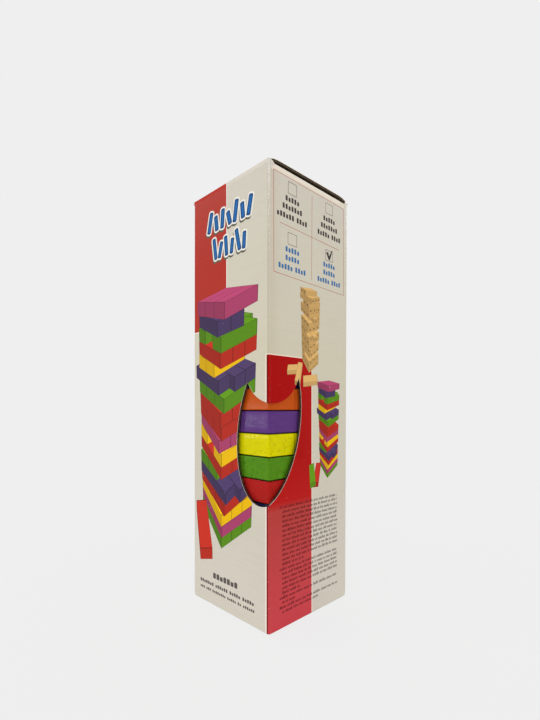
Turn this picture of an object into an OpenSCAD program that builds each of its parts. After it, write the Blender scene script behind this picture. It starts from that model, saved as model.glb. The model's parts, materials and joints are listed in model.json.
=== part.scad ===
// Wooden tumbling tower game, shrink-wrapped and boxed in its tall window carton.
// The origin is the centre of the base. The front wall faces -Y and the right wall faces +X.
// The window is cut across the vertical corner that those two walls share.

/* [Blocks] */
// Length of a block, which is also the width of the tower
block_length = 75; // [66:1:84]
// Height of a block that lies flat
block_height = 15; // [14:0.5:17]
// Play between the blocks of a layer
block_play = 0.15; // [0.1:0.05:0.4]
// Radius of a block's sanded edges
block_edge = 1; // [0.4:0.1:2]
// Number of layers in the tower
layer_count = 18; // [15:1:18]

/* [Shrink film] */
// Thickness of the clear film
film_thickness = 0.1; // [0.05:0.05:0.3]
// Air between the film and the blocks
film_air = 0.05; // [0.05:0.05:0.3]
// Radius of the vent hole in the top of the film
vent_radius = 1.5; // [0.5:0.5:4]

/* [Carton] */
// Thickness of the corrugated board
board = 1.6; // [1.2:0.1:2.4]
// Air between the film and the walls
side_air = 1.5; // [1.4:0.1:6]
// Air between the film and the dust flaps
head_air = 19.2; // [17:0.2:50]
// Outside radius of the walls' folded edges
fold_radius = 1.2; // [0.4:0.1:1.2]
// Width of the flap that glues the tube shut
glue_flap_width = 16; // [8:1:24]
// Thickness of the glue flap, crushed where it is glued
glue_flap_thickness = 1.1; // [0.6:0.1:1.2]
// How far the glue flap stops short of the carton's ends
glue_flap_inset = 8; // [6:1:30]

/* [Window] */
// Height of the window's centre above the base
window_height = 130.4; // [120:0.2:140]
// How far the window's centre lies round the corner from the front wall
window_shift = 0.2; // [-4:0.1:4]
// Half of the window's length
window_half_length = 51.4; // [44:0.2:60]
// Half of the window's width
window_half_width = 29.4; // [24:0.2:32]
// Lean of the window towards the right wall
window_lean = 13; // [0:1:20]
// Radius of the tongue of board that dips into the top of the window
dip_radius = 26.5; // [20:0.5:32]
// Height of the dip's centre above the window's centre
dip_rise = 40.4; // [34:0.2:50]
// How far the dip's centre lies round the corner from the front wall
dip_shift = 3.5; // [-4:0.5:6]

/* [Lid and flaps] */
// Gap between the lid's ends and the outer faces of the side walls
lid_inset = 0.4; // [0:0.1:2]
// Gap between the lid and the dust flaps at the hinge
lid_gap = 0.5; // [0.3:0.1:2]
// Angle by which the closed lid springs up
lid_spring = 0.4; // [0:0.05:2]
// Angle to which the lid opens
lid_opening = 200; // [90:5:225]
// How far the lid's end stays inside the back wall's outer face
lid_end_inset = 0.6; // [0.3:0.1:1.5]
// Gap between a crease's round edge and the flap that turns on it
crease_gap = 0.1; // [0.05:0.05:0.4]
// Length of the tuck flap
tuck_length = 16; // [12:1:16]
// Angle by which the closed tuck flap leans in from the back wall
tuck_lean = 20; // [16:1:28]
// Gap between the tuck flap and the back wall's cut edge
tuck_gap = 0.4; // [0.3:0.1:1]
// Gap between the tuck flap's ends and the side walls
tuck_inset = 2.5; // [1.5:0.1:6]
// Radius of the tuck flap's corners
tuck_corner = 7; // [3:0.5:9]
// Length of the dust flaps
dust_length = 34; // [20:1:34]
// Gap between a dust flap and the front wall
dust_front_gap = 2.5; // [1.5:0.1:6]
// How far the dust flaps stop in front of the tuck flap's tip
dust_back_gap = 0.4; // [0.2:0.1:6]
// Slope of the dust flaps' front edges, which lets the lid lift first
dust_front_slope = 0.5; // [0.48:0.02:0.8]
// Slope of the dust flaps' back edges
dust_back_slope = 0.16; // [0:0.02:0.4]
// Radius of the dust flaps' corners
dust_corner = 5; // [2:0.5:8]

/* [Locked bottom] */
// Gap between the plies of the bottom
ply_gap = 0.1; // [0.05:0.05:0.4]
// Gap between a bottom flap and the walls beside it
bottom_gap = 0.4; // [0.2:0.1:1.5]
// Half of the width of the tongue on the front bottom flap
tongue_half_width = 19; // [12:0.5:22]
// How far the tongue reaches behind the centre
tongue_reach = 17; // [12:0.5:26]
// Gap round the tongue in its slot
tongue_gap = 0.8; // [0.4:0.1:2]
// How far the front bottom flap's shoulders reach behind the centre
front_shoulder = 1; // [-4:0.5:3]
// How far the back bottom flap's shoulders reach in front of the centre
back_shoulder = 9; // [2:0.5:16]
// Width of the side bottom flaps
side_bottom_width = 18; // [12:0.5:18]

/* [Hidden] */
$fn = 64;
step_angle = 10;
window_steps = 72;
over = 1;

paint_names = ["green", "yellow", "purple", "orange", "blue", "red"];
paint_colours = ["#4b9628", "#d7d205", "#5f3c78", "#c85a23", "#1c1c48", "#b92828"];
across_names = ["left", "middle", "right"];
along_names = ["front", "middle", "back"];
blocks_across = len(across_names);
block_width = (block_length - (blocks_across - 1) * block_play) / blocks_across;

film_wrap = film_air + film_thickness;
ply_step = board + ply_gap;
floor_height = 2 * ply_step + board;
tower_base = floor_height + film_wrap;
tower_height = layer_count * block_height;
film_top = tower_base + tower_height + film_wrap;

inner_width = block_length + 2 * (film_wrap + side_air);
outer_width = inner_width + 2 * board;
inner_half = inner_width / 2;
outer_half = outer_width / 2;
crease = board / 2;

side_top = film_top + head_air + board;
lid_top = side_top + lid_gap + board;
front_crease = [crease - outer_half, lid_top - crease];
tuck_crease_y = outer_half - lid_end_inset - crease;
lid_depth = tuck_crease_y - front_crease[0];
side_crease_x = outer_half - crease;
side_crease_z = side_top - crease;
tuck_crease_z = front_crease[1] + lid_depth * sin(lid_spring);
tuck_outside = tuck_crease_y + crease / cos(tuck_lean);
back_top = tuck_crease_z - (tuck_outside + tuck_gap - inner_half) / tan(tuck_lean);

function runs_along_x(layer) = layer % 2 == 0;
function paint_index(layer) = (layer - 1) % len(paint_names);
function two_digits(n) = str(n < 10 ? "0" : "", n);
function place_name(layer, place) = runs_along_x(layer) ? along_names[place] : across_names[place];
function block_name(layer, place) =
    str("layer_", two_digits(layer), "_", paint_names[paint_index(layer)], "_block_",
        place_name(layer, place));

// Points on a round corner, from one direction to another
function corner(centre, radius, from, to) =
    [for (k = [0:step_angle:abs(to - from)])
        centre + radius * [cos(from + sign(to - from) * k), sin(from + sign(to - from) * k)]];

// End of a flap by its crease, cut so that it can close to an angle with the board it turns on.
// The closing side is up, and the board lies along +X from the crease.
function creased_end(angle) =
    let (edge = crease + crease_gap)
    [[edge, -crease], [edge, -edge * tan(45 - angle / 2)],
     [(edge + crease * cos(angle)) / sin(angle), crease]];

// Points on the window's leaning ellipse, seen on the unfolded walls
function window_outline() =
    [for (k = [0:window_steps - 1])
        let (turn = 360 * k / window_steps,
             across = window_half_width * cos(turn),
             up = window_half_length * sin(turn))
        [window_shift + across * cos(window_lean) + up * sin(window_lean),
         window_height - across * sin(window_lean) + up * cos(window_lean)]];

module rounded_rectangle(width, depth, radius) {
    inner_w = width - 2 * radius;
    inner_d = depth - 2 * radius;
    square([width, inner_d], center = true);
    square([inner_w, depth], center = true);
    for (x = [-1, 1], y = [-1, 1])
        translate([x * inner_w / 2, y * inner_d / 2]) circle(radius);
}

module rounded_box(width, depth, height, radius) {
    intersection() {
        linear_extrude(height, center = true) rounded_rectangle(width, depth, radius);
        rotate([90, 0, 0])
            linear_extrude(depth + over, center = true) rounded_rectangle(width, height, radius);
        rotate([90, 0, 90])
            linear_extrude(width + over, center = true) rounded_rectangle(depth, height, radius);
    }
}

// A prism along Y from a profile given as [x, z]
module along_y(from, to) {
    translate([0, to, 0]) rotate([90, 0, 0]) linear_extrude(to - from) children();
}

// A prism along X from a profile given as [y, z]
module along_x(from, to) {
    translate([from, 0, 0]) rotate([90, 0, 90]) linear_extrude(to - from) children();
}

module wooden_block(layer, place) {
    offset = (place - (blocks_across - 1) / 2) * (block_width + block_play);
    turned = runs_along_x(layer);
    color(paint_colours[paint_index(layer)])
        translate([turned ? 0 : offset, turned ? offset : 0, tower_base + (layer - 0.5) * block_height])
            rotate([0, 0, turned ? 90 : 0])
                rounded_box(block_width, block_length, block_height, block_edge);
}

module shrink_film() {
    wrapped = block_length + 2 * film_air;
    middle = tower_base + tower_height / 2;
    color("white", 0.25)
        difference() {
            translate([0, 0, middle])
                rounded_box(wrapped + 2 * film_thickness, wrapped + 2 * film_thickness,
                            tower_height + 2 * film_wrap, block_edge + film_wrap);
            translate([0, 0, middle])
                rounded_box(wrapped, wrapped, tower_height + 2 * film_air, block_edge + film_air);
            translate([0, 0, middle]) cylinder(tower_height, r = vent_radius);
        }
}

// The window as a solid that cuts a wall lying in the XZ plane, with the shared corner at x = 0
module window_cutter() {
    difference() {
        along_y(-over - board, over + board) polygon(window_outline());
        along_y(-2 * over - board, 2 * over + board)
            translate([dip_shift, window_height + dip_rise]) circle(dip_radius);
    }
}

module window_cuts() {
    translate([outer_half, board / 2 - outer_half, 0]) window_cutter();
    translate([outer_half - board / 2, -outer_half, 0]) rotate([0, 0, 90]) window_cutter();
}

// Everything inside the walls' outer faces, with folded edges rounded
module folded_envelope() {
    profile_height = lid_top + 2 * fold_radius;
    intersection() {
        linear_extrude(profile_height) rounded_rectangle(outer_width, outer_width, fold_radius);
        along_x(-outer_half, outer_half)
            translate([0, profile_height / 2])
                rounded_rectangle(outer_width, profile_height, fold_radius);
        along_y(-outer_half, outer_half)
            translate([0, profile_height / 2])
                rounded_rectangle(outer_width, profile_height, fold_radius);
    }
}

module front_wall() {
    difference() {
        intersection() {
            folded_envelope();
            union() {
                translate([-outer_half, -outer_half, 0]) cube([outer_width, board, front_crease[1]]);
                along_x(-outer_half, outer_half) translate(front_crease) circle(crease);
            }
        }
        window_cuts();
    }
}

module right_wall() {
    difference() {
        intersection() {
            folded_envelope();
            side_wall_blank();
        }
        window_cuts();
    }
}

module side_wall_blank() {
    translate([inner_half, -inner_half, 0]) cube([board, inner_width, side_crease_z]);
    along_y(-inner_half, inner_half) translate([side_crease_x, side_crease_z]) circle(crease);
}

module left_wall() {
    intersection() {
        folded_envelope();
        mirror([1, 0, 0]) side_wall_blank();
    }
}

module back_wall() {
    intersection() {
        folded_envelope();
        translate([-outer_half, inner_half, 0]) cube([outer_width, board, back_top]);
    }
}

module glue_flap() {
    top = side_top - board - glue_flap_inset;
    bottom = floor_height + glue_flap_inset;
    slope = glue_flap_width / 4;
    along_x(-inner_half, glue_flap_thickness - inner_half)
        polygon([[inner_half, bottom], [inner_half, top],
                 [inner_half - glue_flap_width, top - slope],
                 [inner_half - glue_flap_width, bottom + slope]]);
}

// The bottom locks with three plies: the front flap outside, the side flaps between, the back flap inside
module front_bottom_flap() {
    side = inner_half - bottom_gap;
    rise = 2 * ply_step;
    linear_extrude(board)
        polygon([[-side, -inner_half], [side, -inner_half], [side - board, front_shoulder - side / 2],
                 [tongue_half_width, front_shoulder], [-tongue_half_width, front_shoulder],
                 [board - side, front_shoulder - side / 2]]);
    along_x(-tongue_half_width + board, tongue_half_width - board)
        polygon([[front_shoulder - board, 0], [front_shoulder, 0],
                 [front_shoulder + rise, rise], [tongue_reach, rise],
                 [tongue_reach, floor_height], [front_shoulder + rise - board / 2, floor_height],
                 [front_shoulder - board / 2, board], [front_shoulder - board, board]]);
}

module side_bottom_flap() {
    translate([0, 0, ply_step])
        linear_extrude(board)
            polygon([[inner_half, bottom_gap - inner_half], [inner_half, inner_half - bottom_gap],
                     [inner_half - side_bottom_width, inner_half - side_bottom_width / 2],
                     [inner_half - side_bottom_width, side_bottom_width / 2 - inner_half]]);
}

module back_bottom_flap() {
    side = inner_half - bottom_gap;
    slot = tongue_half_width + tongue_gap - board;
    translate([0, 0, 2 * ply_step])
        linear_extrude(board)
            polygon([[side, inner_half], [-side, inner_half], [-side, -back_shoulder],
                     [-slot - board, -back_shoulder], [-slot, board - back_shoulder],
                     [-slot, tongue_reach + tongue_gap], [slot, tongue_reach + tongue_gap],
                     [slot, board - back_shoulder], [slot + board, -back_shoulder],
                     [side, -back_shoulder]]);
}

module carton_body() {
    color("#d2cbbe") {
        front_wall();
        right_wall();
        back_wall();
        left_wall();
    }
    color("#b58b5c") {
        glue_flap();
        front_bottom_flap();
        side_bottom_flap();
        mirror([1, 0, 0]) side_bottom_flap();
        back_bottom_flap();
    }
}

// Puts children, drawn along +Y from the crease, at the lid's hinge with the lid sprung up a little
module at_lid_hinge() {
    translate([0, front_crease[0], front_crease[1]]) rotate([lid_spring, 0, 0]) children();
}

module top_lid() {
    half = outer_half - lid_inset;
    tightest = 90 - max(lid_opening - 180, 0);
    color("#d2cbbe")
        at_lid_hinge() {
            along_x(-half, half)
                polygon(concat(creased_end(tightest), [[lid_depth, crease], [lid_depth, -crease]]));
            along_x(-half, half) translate([lid_depth, 0]) circle(crease);
        }
}

module tuck_flap() {
    half = inner_half - tuck_inset;
    tip = tuck_length - tuck_corner;
    color("#d2cbbe")
        at_lid_hinge()
            translate([0, lid_depth, 0])
                rotate([lid_spring + tuck_lean - 90, 0, 180])
                    intersection() {
                        translate([0, 0, -crease])
                            linear_extrude(board)
                                polygon(concat(
                                    [[-half, 0], [half, 0]],
                                    corner([half - tuck_corner, tip], tuck_corner, 0, 90),
                                    corner([tuck_corner - half, tip], tuck_corner, 90, 180)));
                        along_x(-half, half)
                            polygon(concat(creased_end(90 - lid_spring - tuck_lean),
                                           [[tuck_length, crease], [tuck_length, -crease]]));
                    }
}

module dust_flap() {
    edge = inner_half - crease_gap;
    tip = inner_half - dust_length;
    front = dust_front_gap - inner_half;
    back = tuck_crease_y - tuck_length * sin(tuck_lean) - crease * cos(tuck_lean) - dust_back_gap;
    front_tip = front + dust_front_slope * dust_length;
    back_tip = back - dust_back_slope * dust_length;
    color("#d2cbbe")
        translate([0, 0, side_top - board])
            linear_extrude(board)
                polygon(concat(
                    [[edge, front], [edge, back]],
                    corner([tip + dust_corner, back_tip - dust_corner], dust_corner, 90, 180),
                    corner([tip + dust_corner, front_tip + dust_corner], dust_corner,
                           180, 270 - atan(dust_front_slope))));
}

module dust_flap_right() {
    dust_flap();
}

module dust_flap_left() {
    mirror([1, 0, 0]) dust_flap();
}

carton_body();
top_lid();
tuck_flap();
dust_flap_right();
dust_flap_left();
shrink_film();
for (layer = [1:layer_count])
    for (place = [0:blocks_across - 1])
        wooden_block(layer, place);
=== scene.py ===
import json
import math

import bmesh
import bpy
import numpy as np
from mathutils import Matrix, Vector
from mathutils.geometry import delaunay_2d_cdt


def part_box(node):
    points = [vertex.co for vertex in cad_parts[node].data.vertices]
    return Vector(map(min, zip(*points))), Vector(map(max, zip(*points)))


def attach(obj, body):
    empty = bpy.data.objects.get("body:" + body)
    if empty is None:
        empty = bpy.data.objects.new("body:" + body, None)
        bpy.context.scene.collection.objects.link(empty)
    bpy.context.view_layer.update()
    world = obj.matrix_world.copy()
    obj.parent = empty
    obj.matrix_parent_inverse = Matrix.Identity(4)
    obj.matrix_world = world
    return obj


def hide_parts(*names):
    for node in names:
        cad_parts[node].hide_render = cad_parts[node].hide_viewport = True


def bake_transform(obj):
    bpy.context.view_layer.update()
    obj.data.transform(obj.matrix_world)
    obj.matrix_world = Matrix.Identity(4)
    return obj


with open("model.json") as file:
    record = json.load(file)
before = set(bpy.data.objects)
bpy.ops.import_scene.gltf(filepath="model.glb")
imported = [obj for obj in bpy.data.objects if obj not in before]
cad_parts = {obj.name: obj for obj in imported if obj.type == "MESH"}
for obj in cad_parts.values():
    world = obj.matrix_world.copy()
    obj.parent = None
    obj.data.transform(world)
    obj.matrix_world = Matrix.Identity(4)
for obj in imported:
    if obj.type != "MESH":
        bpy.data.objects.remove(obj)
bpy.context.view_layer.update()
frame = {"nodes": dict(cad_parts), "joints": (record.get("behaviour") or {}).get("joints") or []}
mm = 0.001  # every size below is in millimetres, and a mesh is in metres


def cornersOf(node):
    # lowest and highest corner of a CAD node, in mm
    return [np.array(corner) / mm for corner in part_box(node)]


def pointsOf(node):
    # every point of a CAD node's mesh, in mm
    mesh = frame["nodes"][node].data
    points = np.empty(3 * len(mesh.vertices))
    mesh.vertices.foreach_get("co", points)
    return points.reshape(-1, 3) / mm


hinges = {joint["name"]: np.array(joint["pos_m"]) / mm
          for joint in frame["joints"] if joint["type"] == "hinge"}
cartonHigh = cornersOf("carton_body")[1]
dustLow, dustHigh = cornersOf("dust_flap_right")
tuckHigh = cornersOf("tuck_flap")[1]
lidHigh = cornersOf("top_lid")[1]
filmLow, filmHigh = cornersOf("shrink_film")
blockLow, blockHigh = cornersOf("layer_01_green_block_left")

carton = {
    "half": cartonHigh[0],             # from the middle to a wall's outer face
    "wall": 2 * cartonHigh[0],
    "cornerRadius": 1.2,               # the board bends softly at its upright folds
    "baseCornerRadius": 2.0,           # and is crushed rounder where it meets the floor
    "crushedHeight": 3.5,
    "baseRadius": 0.45,
    "creaseAt": 3.0, "creaseDepth": 0.13, "creaseWidth": 1.0,   # faint valley beside each upright fold
    "backShoulder": 2.5,               # width of the full-height corner beside the back wall's lower edge
    "shoulderFoot": 0.75,              # where that corner ends above, as a share of it
    "cornerRise": 1.6,                 # how far the back corners stand above the side walls' creases
    "cornerSlit": 0.3,                 # cut between a side wall's crease and the wall beside it
    "foldSteps": 9,
    "baseShares": np.linspace(1, -1, 7),                        # lines round the base's fold, in its radius
    "crushLevels": (1.0, 1.8, 2.6, 3.5),                        # and above it
    "valleySteps": (-1, -0.5, 0, 0.5, 1, 1.7),                  # lines along each valley, in its width
}
board = {
    "thickness": dustHigh[2] - dustLow[2],
    "bead": (dustHigh[2] - dustLow[2]) / 2,
    "liner": 0.3,
    "flutePitch": 3.2,
    "fluteThickness": 0.18,
    "fluteReach": 9.0,                 # how far the flutes are modelled behind a cut edge
    "fluteColumns": 7,
    "rowsInFlute": 8,
    "squareness": 0.3,                 # how far a fold stands out beyond its circle, as a share of its radius
}
creases = {
    "front": hinges["lid_hinge"][2],
    "side": hinges["dust_flap_right_hinge"][2],
    "back": max(z for x, y, z in pointsOf("carton_body") if y > cartonHigh[1] - 1),
}
lidReach = hinges["tuck_hinge"] - hinges["lid_hinge"]
lid = {
    "half": lidHigh[0],
    "depth": math.hypot(lidReach[1], lidReach[2]),   # from crease to crease
    "spring": math.atan2(lidReach[2], lidReach[1]),
    "outerStart": 1.25,
    "innerStart": 0.9,
    "wrap": 150, "shortWrap": 60,      # how far its liner turns, in degrees, beside the tuck and at it
    "notchGap": 0.4,                   # between the tuck's side and the longer wrap
    "bow": 1.8, "bowRise": 2.5, "bowFall": 2.6,    # the board arches up between its two creases
    "bowEnd": 0.3,                     # share of the bow that is left at the tuck's crease
    "bulge": 0.8,                      # how far the liner stands out round that crease
    # lines that divide the lid, from each crease
    "frontLevels": (1.6, 2.4, 3.4, 4.6, 6.2, 8.5, 12, 20, 38),
    "tuckLevels": (0.8, 1.7, 2.8, 4.2, 6, 8.5, 12, 20),
}


creaseShares = np.linspace(0, 1, 9)    # where lines divide the liner that turns round a crease
printOver = 4.0                        # how far a print runs on past a crease


def linear(colour):
    # a colour as a screen shows it, 0 to 255, as linear light
    share = np.array(colour, float) / 255
    return np.where(share <= 0.04045, share / 12.92, ((share + 0.055) / 1.055) ** 2.4)


inks = {
    "paper": (208, 202, 189),
    "edge": (236, 233, 226),
    "cream": (240, 222, 210),
    # painted highlight along the tops of the side walls and their creases
    "topEdge": (226, 216, 200),
    # painted shade and painted light in strips beside the near fold
    "foldPaintedShade": (194, 186, 170),
    "foldPaintedLight": (204, 196, 182),
    "foldPaintedDim": (204, 195, 180),
    "foldScrap": (216, 208, 197),
    "frontRed": (176, 50, 40),
    "topRed": (178, 64, 54),
    "brightRed": (168, 0, 0),
    "sideRed": (174, 12, 8),
    "warmRed": (184, 22, 20),
    # a painted highlight beside the near fold, then painted shade where the stripe turns it
    "gleamHighlightRed": (168, 18, 14),
    "foldShadeRed": (108, 6, 6),
    "palerRed": (183, 63, 60),
    "paleRed": (201, 68, 77),
    # painted shade where the paler stripe turns the fold
    "foldShadePale": (124, 24, 30),
    "frameRed": (176, 104, 92),
    "titleBlue": (40, 104, 172),
    "titleEdge": (26, 74, 126),
    "textBlue": (66, 112, 166),
    "textBlack": (66, 62, 60),
    "textGrey": (92, 86, 82),
    "textOnRed": (104, 24, 30),
    "shadow": (96, 92, 82),
    "kraft": (164, 128, 90),
    "torn": (206, 198, 188),
}


# Meshes from arrays

def signedVolume(points, faces):
    # sum of the tetrahedra from the origin to each triangle: negative when the faces point inwards
    a, b, c = (points[faces[:, k]] for k in range(3))
    return np.einsum("ij,ij->i", a, np.cross(b, c)).sum() / 6


def closeSheet(flat, faces, place, outerDepth, innerDepth):
    # A thin closed shell from a flat sheet: its triangles at the outer depth, the same ones reversed at the
    # inner depth, and two triangles for every edge that belongs to one triangle only
    count = len(flat)
    points = np.vstack([place(flat[:, 0], flat[:, 1], np.broadcast_to(depth, count))
                        for depth in (outerDepth, innerDepth)])
    start, end = faces.ravel(), np.roll(faces, -1, axis=1).ravel()
    isOpen = ~np.isin(start * count + end, end * count + start)
    start, end = start[isOpen], end[isOpen]
    rim = np.vstack([np.column_stack([end, start, start + count]),
                     np.column_stack([end, start + count, end + count])])
    inner = faces[:, ::-1] + count
    allFaces = np.vstack([faces, inner, rim])
    if signedVolume(points, allFaces) < 0:
        allFaces = allFaces[:, ::-1]
    zones = np.repeat([0, 1, 2], [len(faces), len(inner), len(rim)])
    return {"points": points, "faces": allFaces, "flat": np.vstack([flat, flat]), "zones": zones}


def gridFaces(rows, columns, keep=None):
    # two triangles for each cell of a grid of points, row after row
    corner = (np.arange(rows - 1)[:, None] * columns + np.arange(columns - 1)[None, :])
    if keep is not None:
        corner = corner[keep]
    corner = corner.ravel()
    return np.vstack([np.column_stack([corner, corner + 1, corner + columns + 1]),
                      np.column_stack([corner, corner + columns + 1, corner + columns])])


def makePiece(name, shells, materials, smoothAngle=40, sheetShift=0.0):
    # Joins shells into one object. Each has points, faces, flat coordinates, a finish and an ink for each
    # face. The flat coordinates become the UV map, shifted so that a flap's ends wear as the walls' folds do
    points, faces, flat, finish, ink = [], [], [], [], []
    count = 0
    for shell in shells:
        points.append(shell["points"])
        faces.append(shell["faces"] + count)
        flat.append(shell["flat"])
        finish.append(np.full(len(shell["faces"]), shell["finish"]))
        ink.append(np.broadcast_to(shell["ink"], (len(shell["faces"]), 3)))
        count += len(shell["points"])
    points, faces, flat, finish, ink = map(np.concatenate, (points, faces, flat, finish, ink))
    mesh = bpy.data.meshes.new(name)
    mesh.from_pydata((points * mm).tolist(), [], faces.tolist())
    for material in materials:
        mesh.materials.append(material)
    mesh.polygons.foreach_set("material_index", finish.astype(np.int32))
    sheetMap = mesh.uv_layers.new(name="sheet")
    onSheet = (flat[faces.ravel()] + np.array([sheetShift, 0])) / 100
    sheetMap.data.foreach_set("uv", onSheet.astype(np.float32).ravel())
    inkLayer = mesh.color_attributes.new("ink", "FLOAT_COLOR", "CORNER")
    cornerInk = np.column_stack([np.repeat(ink, 3, axis=0), np.ones(3 * len(faces))])
    inkLayer.data.foreach_set("color", cornerInk.astype(np.float32).ravel())
    mesh.polygons.foreach_set("use_smooth", np.ones(len(faces), bool))
    mesh.set_sharp_from_angle(angle=math.radians(smoothAngle))
    mesh.update()
    piece = bpy.data.objects.new(name, mesh)
    bpy.context.scene.collection.objects.link(piece)
    return piece


# Flat outlines

def counterClockwise(loop):
    loop = np.asarray(loop, float)
    following = np.roll(loop, -1, axis=0)
    area = (loop[:, 0] * following[:, 1] - loop[:, 1] * following[:, 0]).sum() / 2
    return loop if area > 0 else loop[::-1]


def rectangle(left, bottom, right, top):
    return np.array([[left, bottom], [right, bottom], [right, top], [left, top]])


def roundCorner(centre, radius, fromAngle, toAngle, steps=5):
    # points on a circle from one angle to another, in degrees
    angle = np.radians(np.linspace(fromAngle, toAngle, steps))
    return np.column_stack([centre[0] + radius * np.cos(angle), centre[1] + radius * np.sin(angle)])


def roundedTile(centre, size, radius, turn=0.0):
    # a rectangle with round corners, turned about its centre by an angle in degrees
    x, y = size[0] / 2 - radius, size[1] / 2 - radius
    loop = np.vstack([roundCorner((sx * x, sy * y), radius, start, start + 90, 4)
                      for sx, sy, start in ((1, 1, 0), (-1, 1, 90), (-1, -1, 180), (1, -1, 270))])
    angle = math.radians(turn)
    spin = np.array([[math.cos(angle), math.sin(angle)], [-math.sin(angle), math.cos(angle)]])
    return loop @ spin + np.array(centre)


def stroke(start, end, width):
    # a straight printed line as a thin rectangle
    start, end = np.array(start, float), np.array(end, float)
    along = (end - start) / np.linalg.norm(end - start)
    side = np.array([-along[1], along[0]]) * width / 2
    return np.array([start - side, end - side, end + side, start + side])


def cutSheet(outline, holes, prints, lines):
    # Splits a flat sheet into triangles along its outline, holes, printed shapes and fold lines. A triangle
    # takes the ink of the last shape printed over it. Returns points, triangles and the ink of each triangle
    shapes = [counterClockwise(loop) for loop in [outline] + [shape for shape, _ in prints] + holes]
    colours = np.array([linear(inks["paper"])] + [linear(colour) for _, colour in prints])
    points, faces, edges = [], [], []
    for shape in shapes:
        faces.append(list(range(len(points), len(points) + len(shape))))
        points += [Vector(point) for point in shape.tolist()]
    for line in lines:
        edges.append((len(points), len(points) + 1))
        points += [Vector(point) for point in line]
    corners, _, triangles, _, _, origins = delaunay_2d_cdt(points, edges, faces, 1, 1e-5)
    firstHole = 1 + len(prints)
    kept = [k for k, ids in enumerate(origins) if 0 in ids and max(ids) < firstHole]
    ink = colours[[max(origins[k]) for k in kept]]
    used, faces = np.unique([triangles[k] for k in kept], return_inverse=True)
    return np.array(corners)[used], faces.reshape(-1, 3), ink


def crossings(loops, rows):
    # where each row, a line of constant second coordinate, crosses the loops, sorted and padded with infinity
    start = np.vstack(loops)
    end = np.vstack([np.roll(loop, -1, axis=0) for loop in loops])
    rows = rows[:, None]
    crosses = (start[:, 1] <= rows) != (end[:, 1] <= rows)
    rise = np.where(end[:, 1] == start[:, 1], 1.0, end[:, 1] - start[:, 1])
    across = start[:, 0] + (rows - start[:, 1]) / rise * (end[:, 0] - start[:, 0])
    return np.sort(np.where(crosses, across, np.inf), axis=1)


def fluteShells(loops, place, low, high):
    # The corrugated medium behind the cut edges: rows across the flutes, and at each end of a row's span a
    # strip of columns. The depth is the board's middle plus a cosine of the row with the flutes' pitch
    pitch, reach = board["flutePitch"], board["fluteReach"]
    step = pitch / board["rowsInFlute"]
    rows = np.arange(math.ceil(low / step), math.floor(high / step) + 1) * step
    ends = crossings(loops, rows)
    swing = board["bead"] - board["liner"] - board["fluteThickness"] / 2
    middle = board["bead"] + swing * np.cos(2 * math.pi * rows / pitch)
    share = np.linspace(0, 1, board["fluteColumns"])
    shells = []
    for first in range(0, ends.shape[1] - 1, 2):
        left, right = ends[:, first], ends[:, first + 1]
        valid = np.isfinite(right)
        if valid.sum() < 2:
            continue
        left, right = np.where(valid, left, 0), np.where(valid, right, 0)
        centre = (left + right) / 2
        for start, end in ((left, np.minimum(left + reach, centre)),
                           (np.maximum(right - reach, centre), right)):
            smooth = np.abs(np.diff(start)) + np.abs(np.diff(end)) < 4 * pitch
            keep = np.repeat((valid[1:] & valid[:-1] & smooth)[:, None], len(share) - 1, axis=1)
            if not keep.any():
                continue
            across = start[:, None] + (end - start)[:, None] * share
            flat = np.column_stack([across.ravel(), np.repeat(rows, len(share))])
            depth = np.repeat(middle, len(share))
            half = board["fluteThickness"] / 2
            faces = gridFaces(len(rows), len(share), keep)
            shell = closeSheet(flat, faces, place, depth - half, depth + half)
            shells.append({**shell, "finish": 2, "ink": linear(inks["kraft"])})
    return shells


def linerShell(outline, holes, prints, lines, place, outerDepth, innerDepth, finish):
    # one paper liner of the board, printed on its outer side and white along its cut edge
    flat, faces, ink = cutSheet(outline, holes, prints, lines)
    shell = closeSheet(flat, faces, place, outerDepth, innerDepth)
    faceInk = np.vstack([ink, np.broadcast_to(linear(inks["kraft"]), ink.shape),
                         np.broadcast_to(linear(inks["edge"]), ((shell["zones"] == 2).sum(), 3))])
    return {**shell, "finish": finish, "ink": faceInk}


def boardShells(outline, place, prints=(), holes=(), lines=(), innerOutline=None, fluteRange=None,
                innerPlace=None):
    # a corrugated board: printed outer liner, kraft inner liner, and flutes behind the cut edges
    innerOutline = outline if innerOutline is None else innerOutline
    innerPlace = innerPlace or place
    holes = list(holes)
    depth = board["thickness"]
    outer = linerShell(outline, holes, list(prints), list(lines), place, 0.0, board["liner"], 0)
    inner = linerShell(innerOutline, holes, [], list(lines), innerPlace, depth - board["liner"], depth, 1)
    low, high = fluteRange or (innerOutline[:, 1].min(), innerOutline[:, 1].max())
    return [outer, inner] + fluteShells([innerOutline] + holes, innerPlace, low, high)


# Places on the folded carton. The first coordinate runs along the flutes and the second across them

def roundTheWalls(along, inset, height, radius, half=carton["half"]):
    # The four walls unrolled are one line, with the near corner at zero, the right and back walls after it
    # and the front and left walls before it. A point stays at its inset from the wall's outer face, and the
    # last stretch before a corner, as long as the corner's radius, turns through 45 degrees on a circle
    wall = 2 * half
    side = np.clip(np.floor(along / wall), -2, 1).astype(int)
    onWall = along - side * wall
    toCorner = np.minimum(onWall, wall - onWall)
    turn = np.clip(1 - toCorner / radius, 0, 1) * math.pi / 4
    centre = np.maximum(radius, inset)
    bend = centre - inset
    reach = np.where(turn > 0, centre - bend * np.sin(turn), np.maximum(toCorner, centre))
    reach = np.where(onWall > wall / 2, wall - reach, reach)
    inward = centre - bend * np.cos(turn)
    start = np.array([[-half, half], [-half, -half], [half, -half], [half, half]])[side + 2]
    forwards = np.array([[0, -1], [1, 0], [0, 1], [-1, 0]])[side + 2]
    inwards = np.array([[1, 0], [0, 1], [-1, 0], [0, -1]])[side + 2]
    ground = start + forwards * reach[..., None] + inwards * inward[..., None]
    return np.concatenate([ground, height[..., None]], axis=-1)


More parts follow.
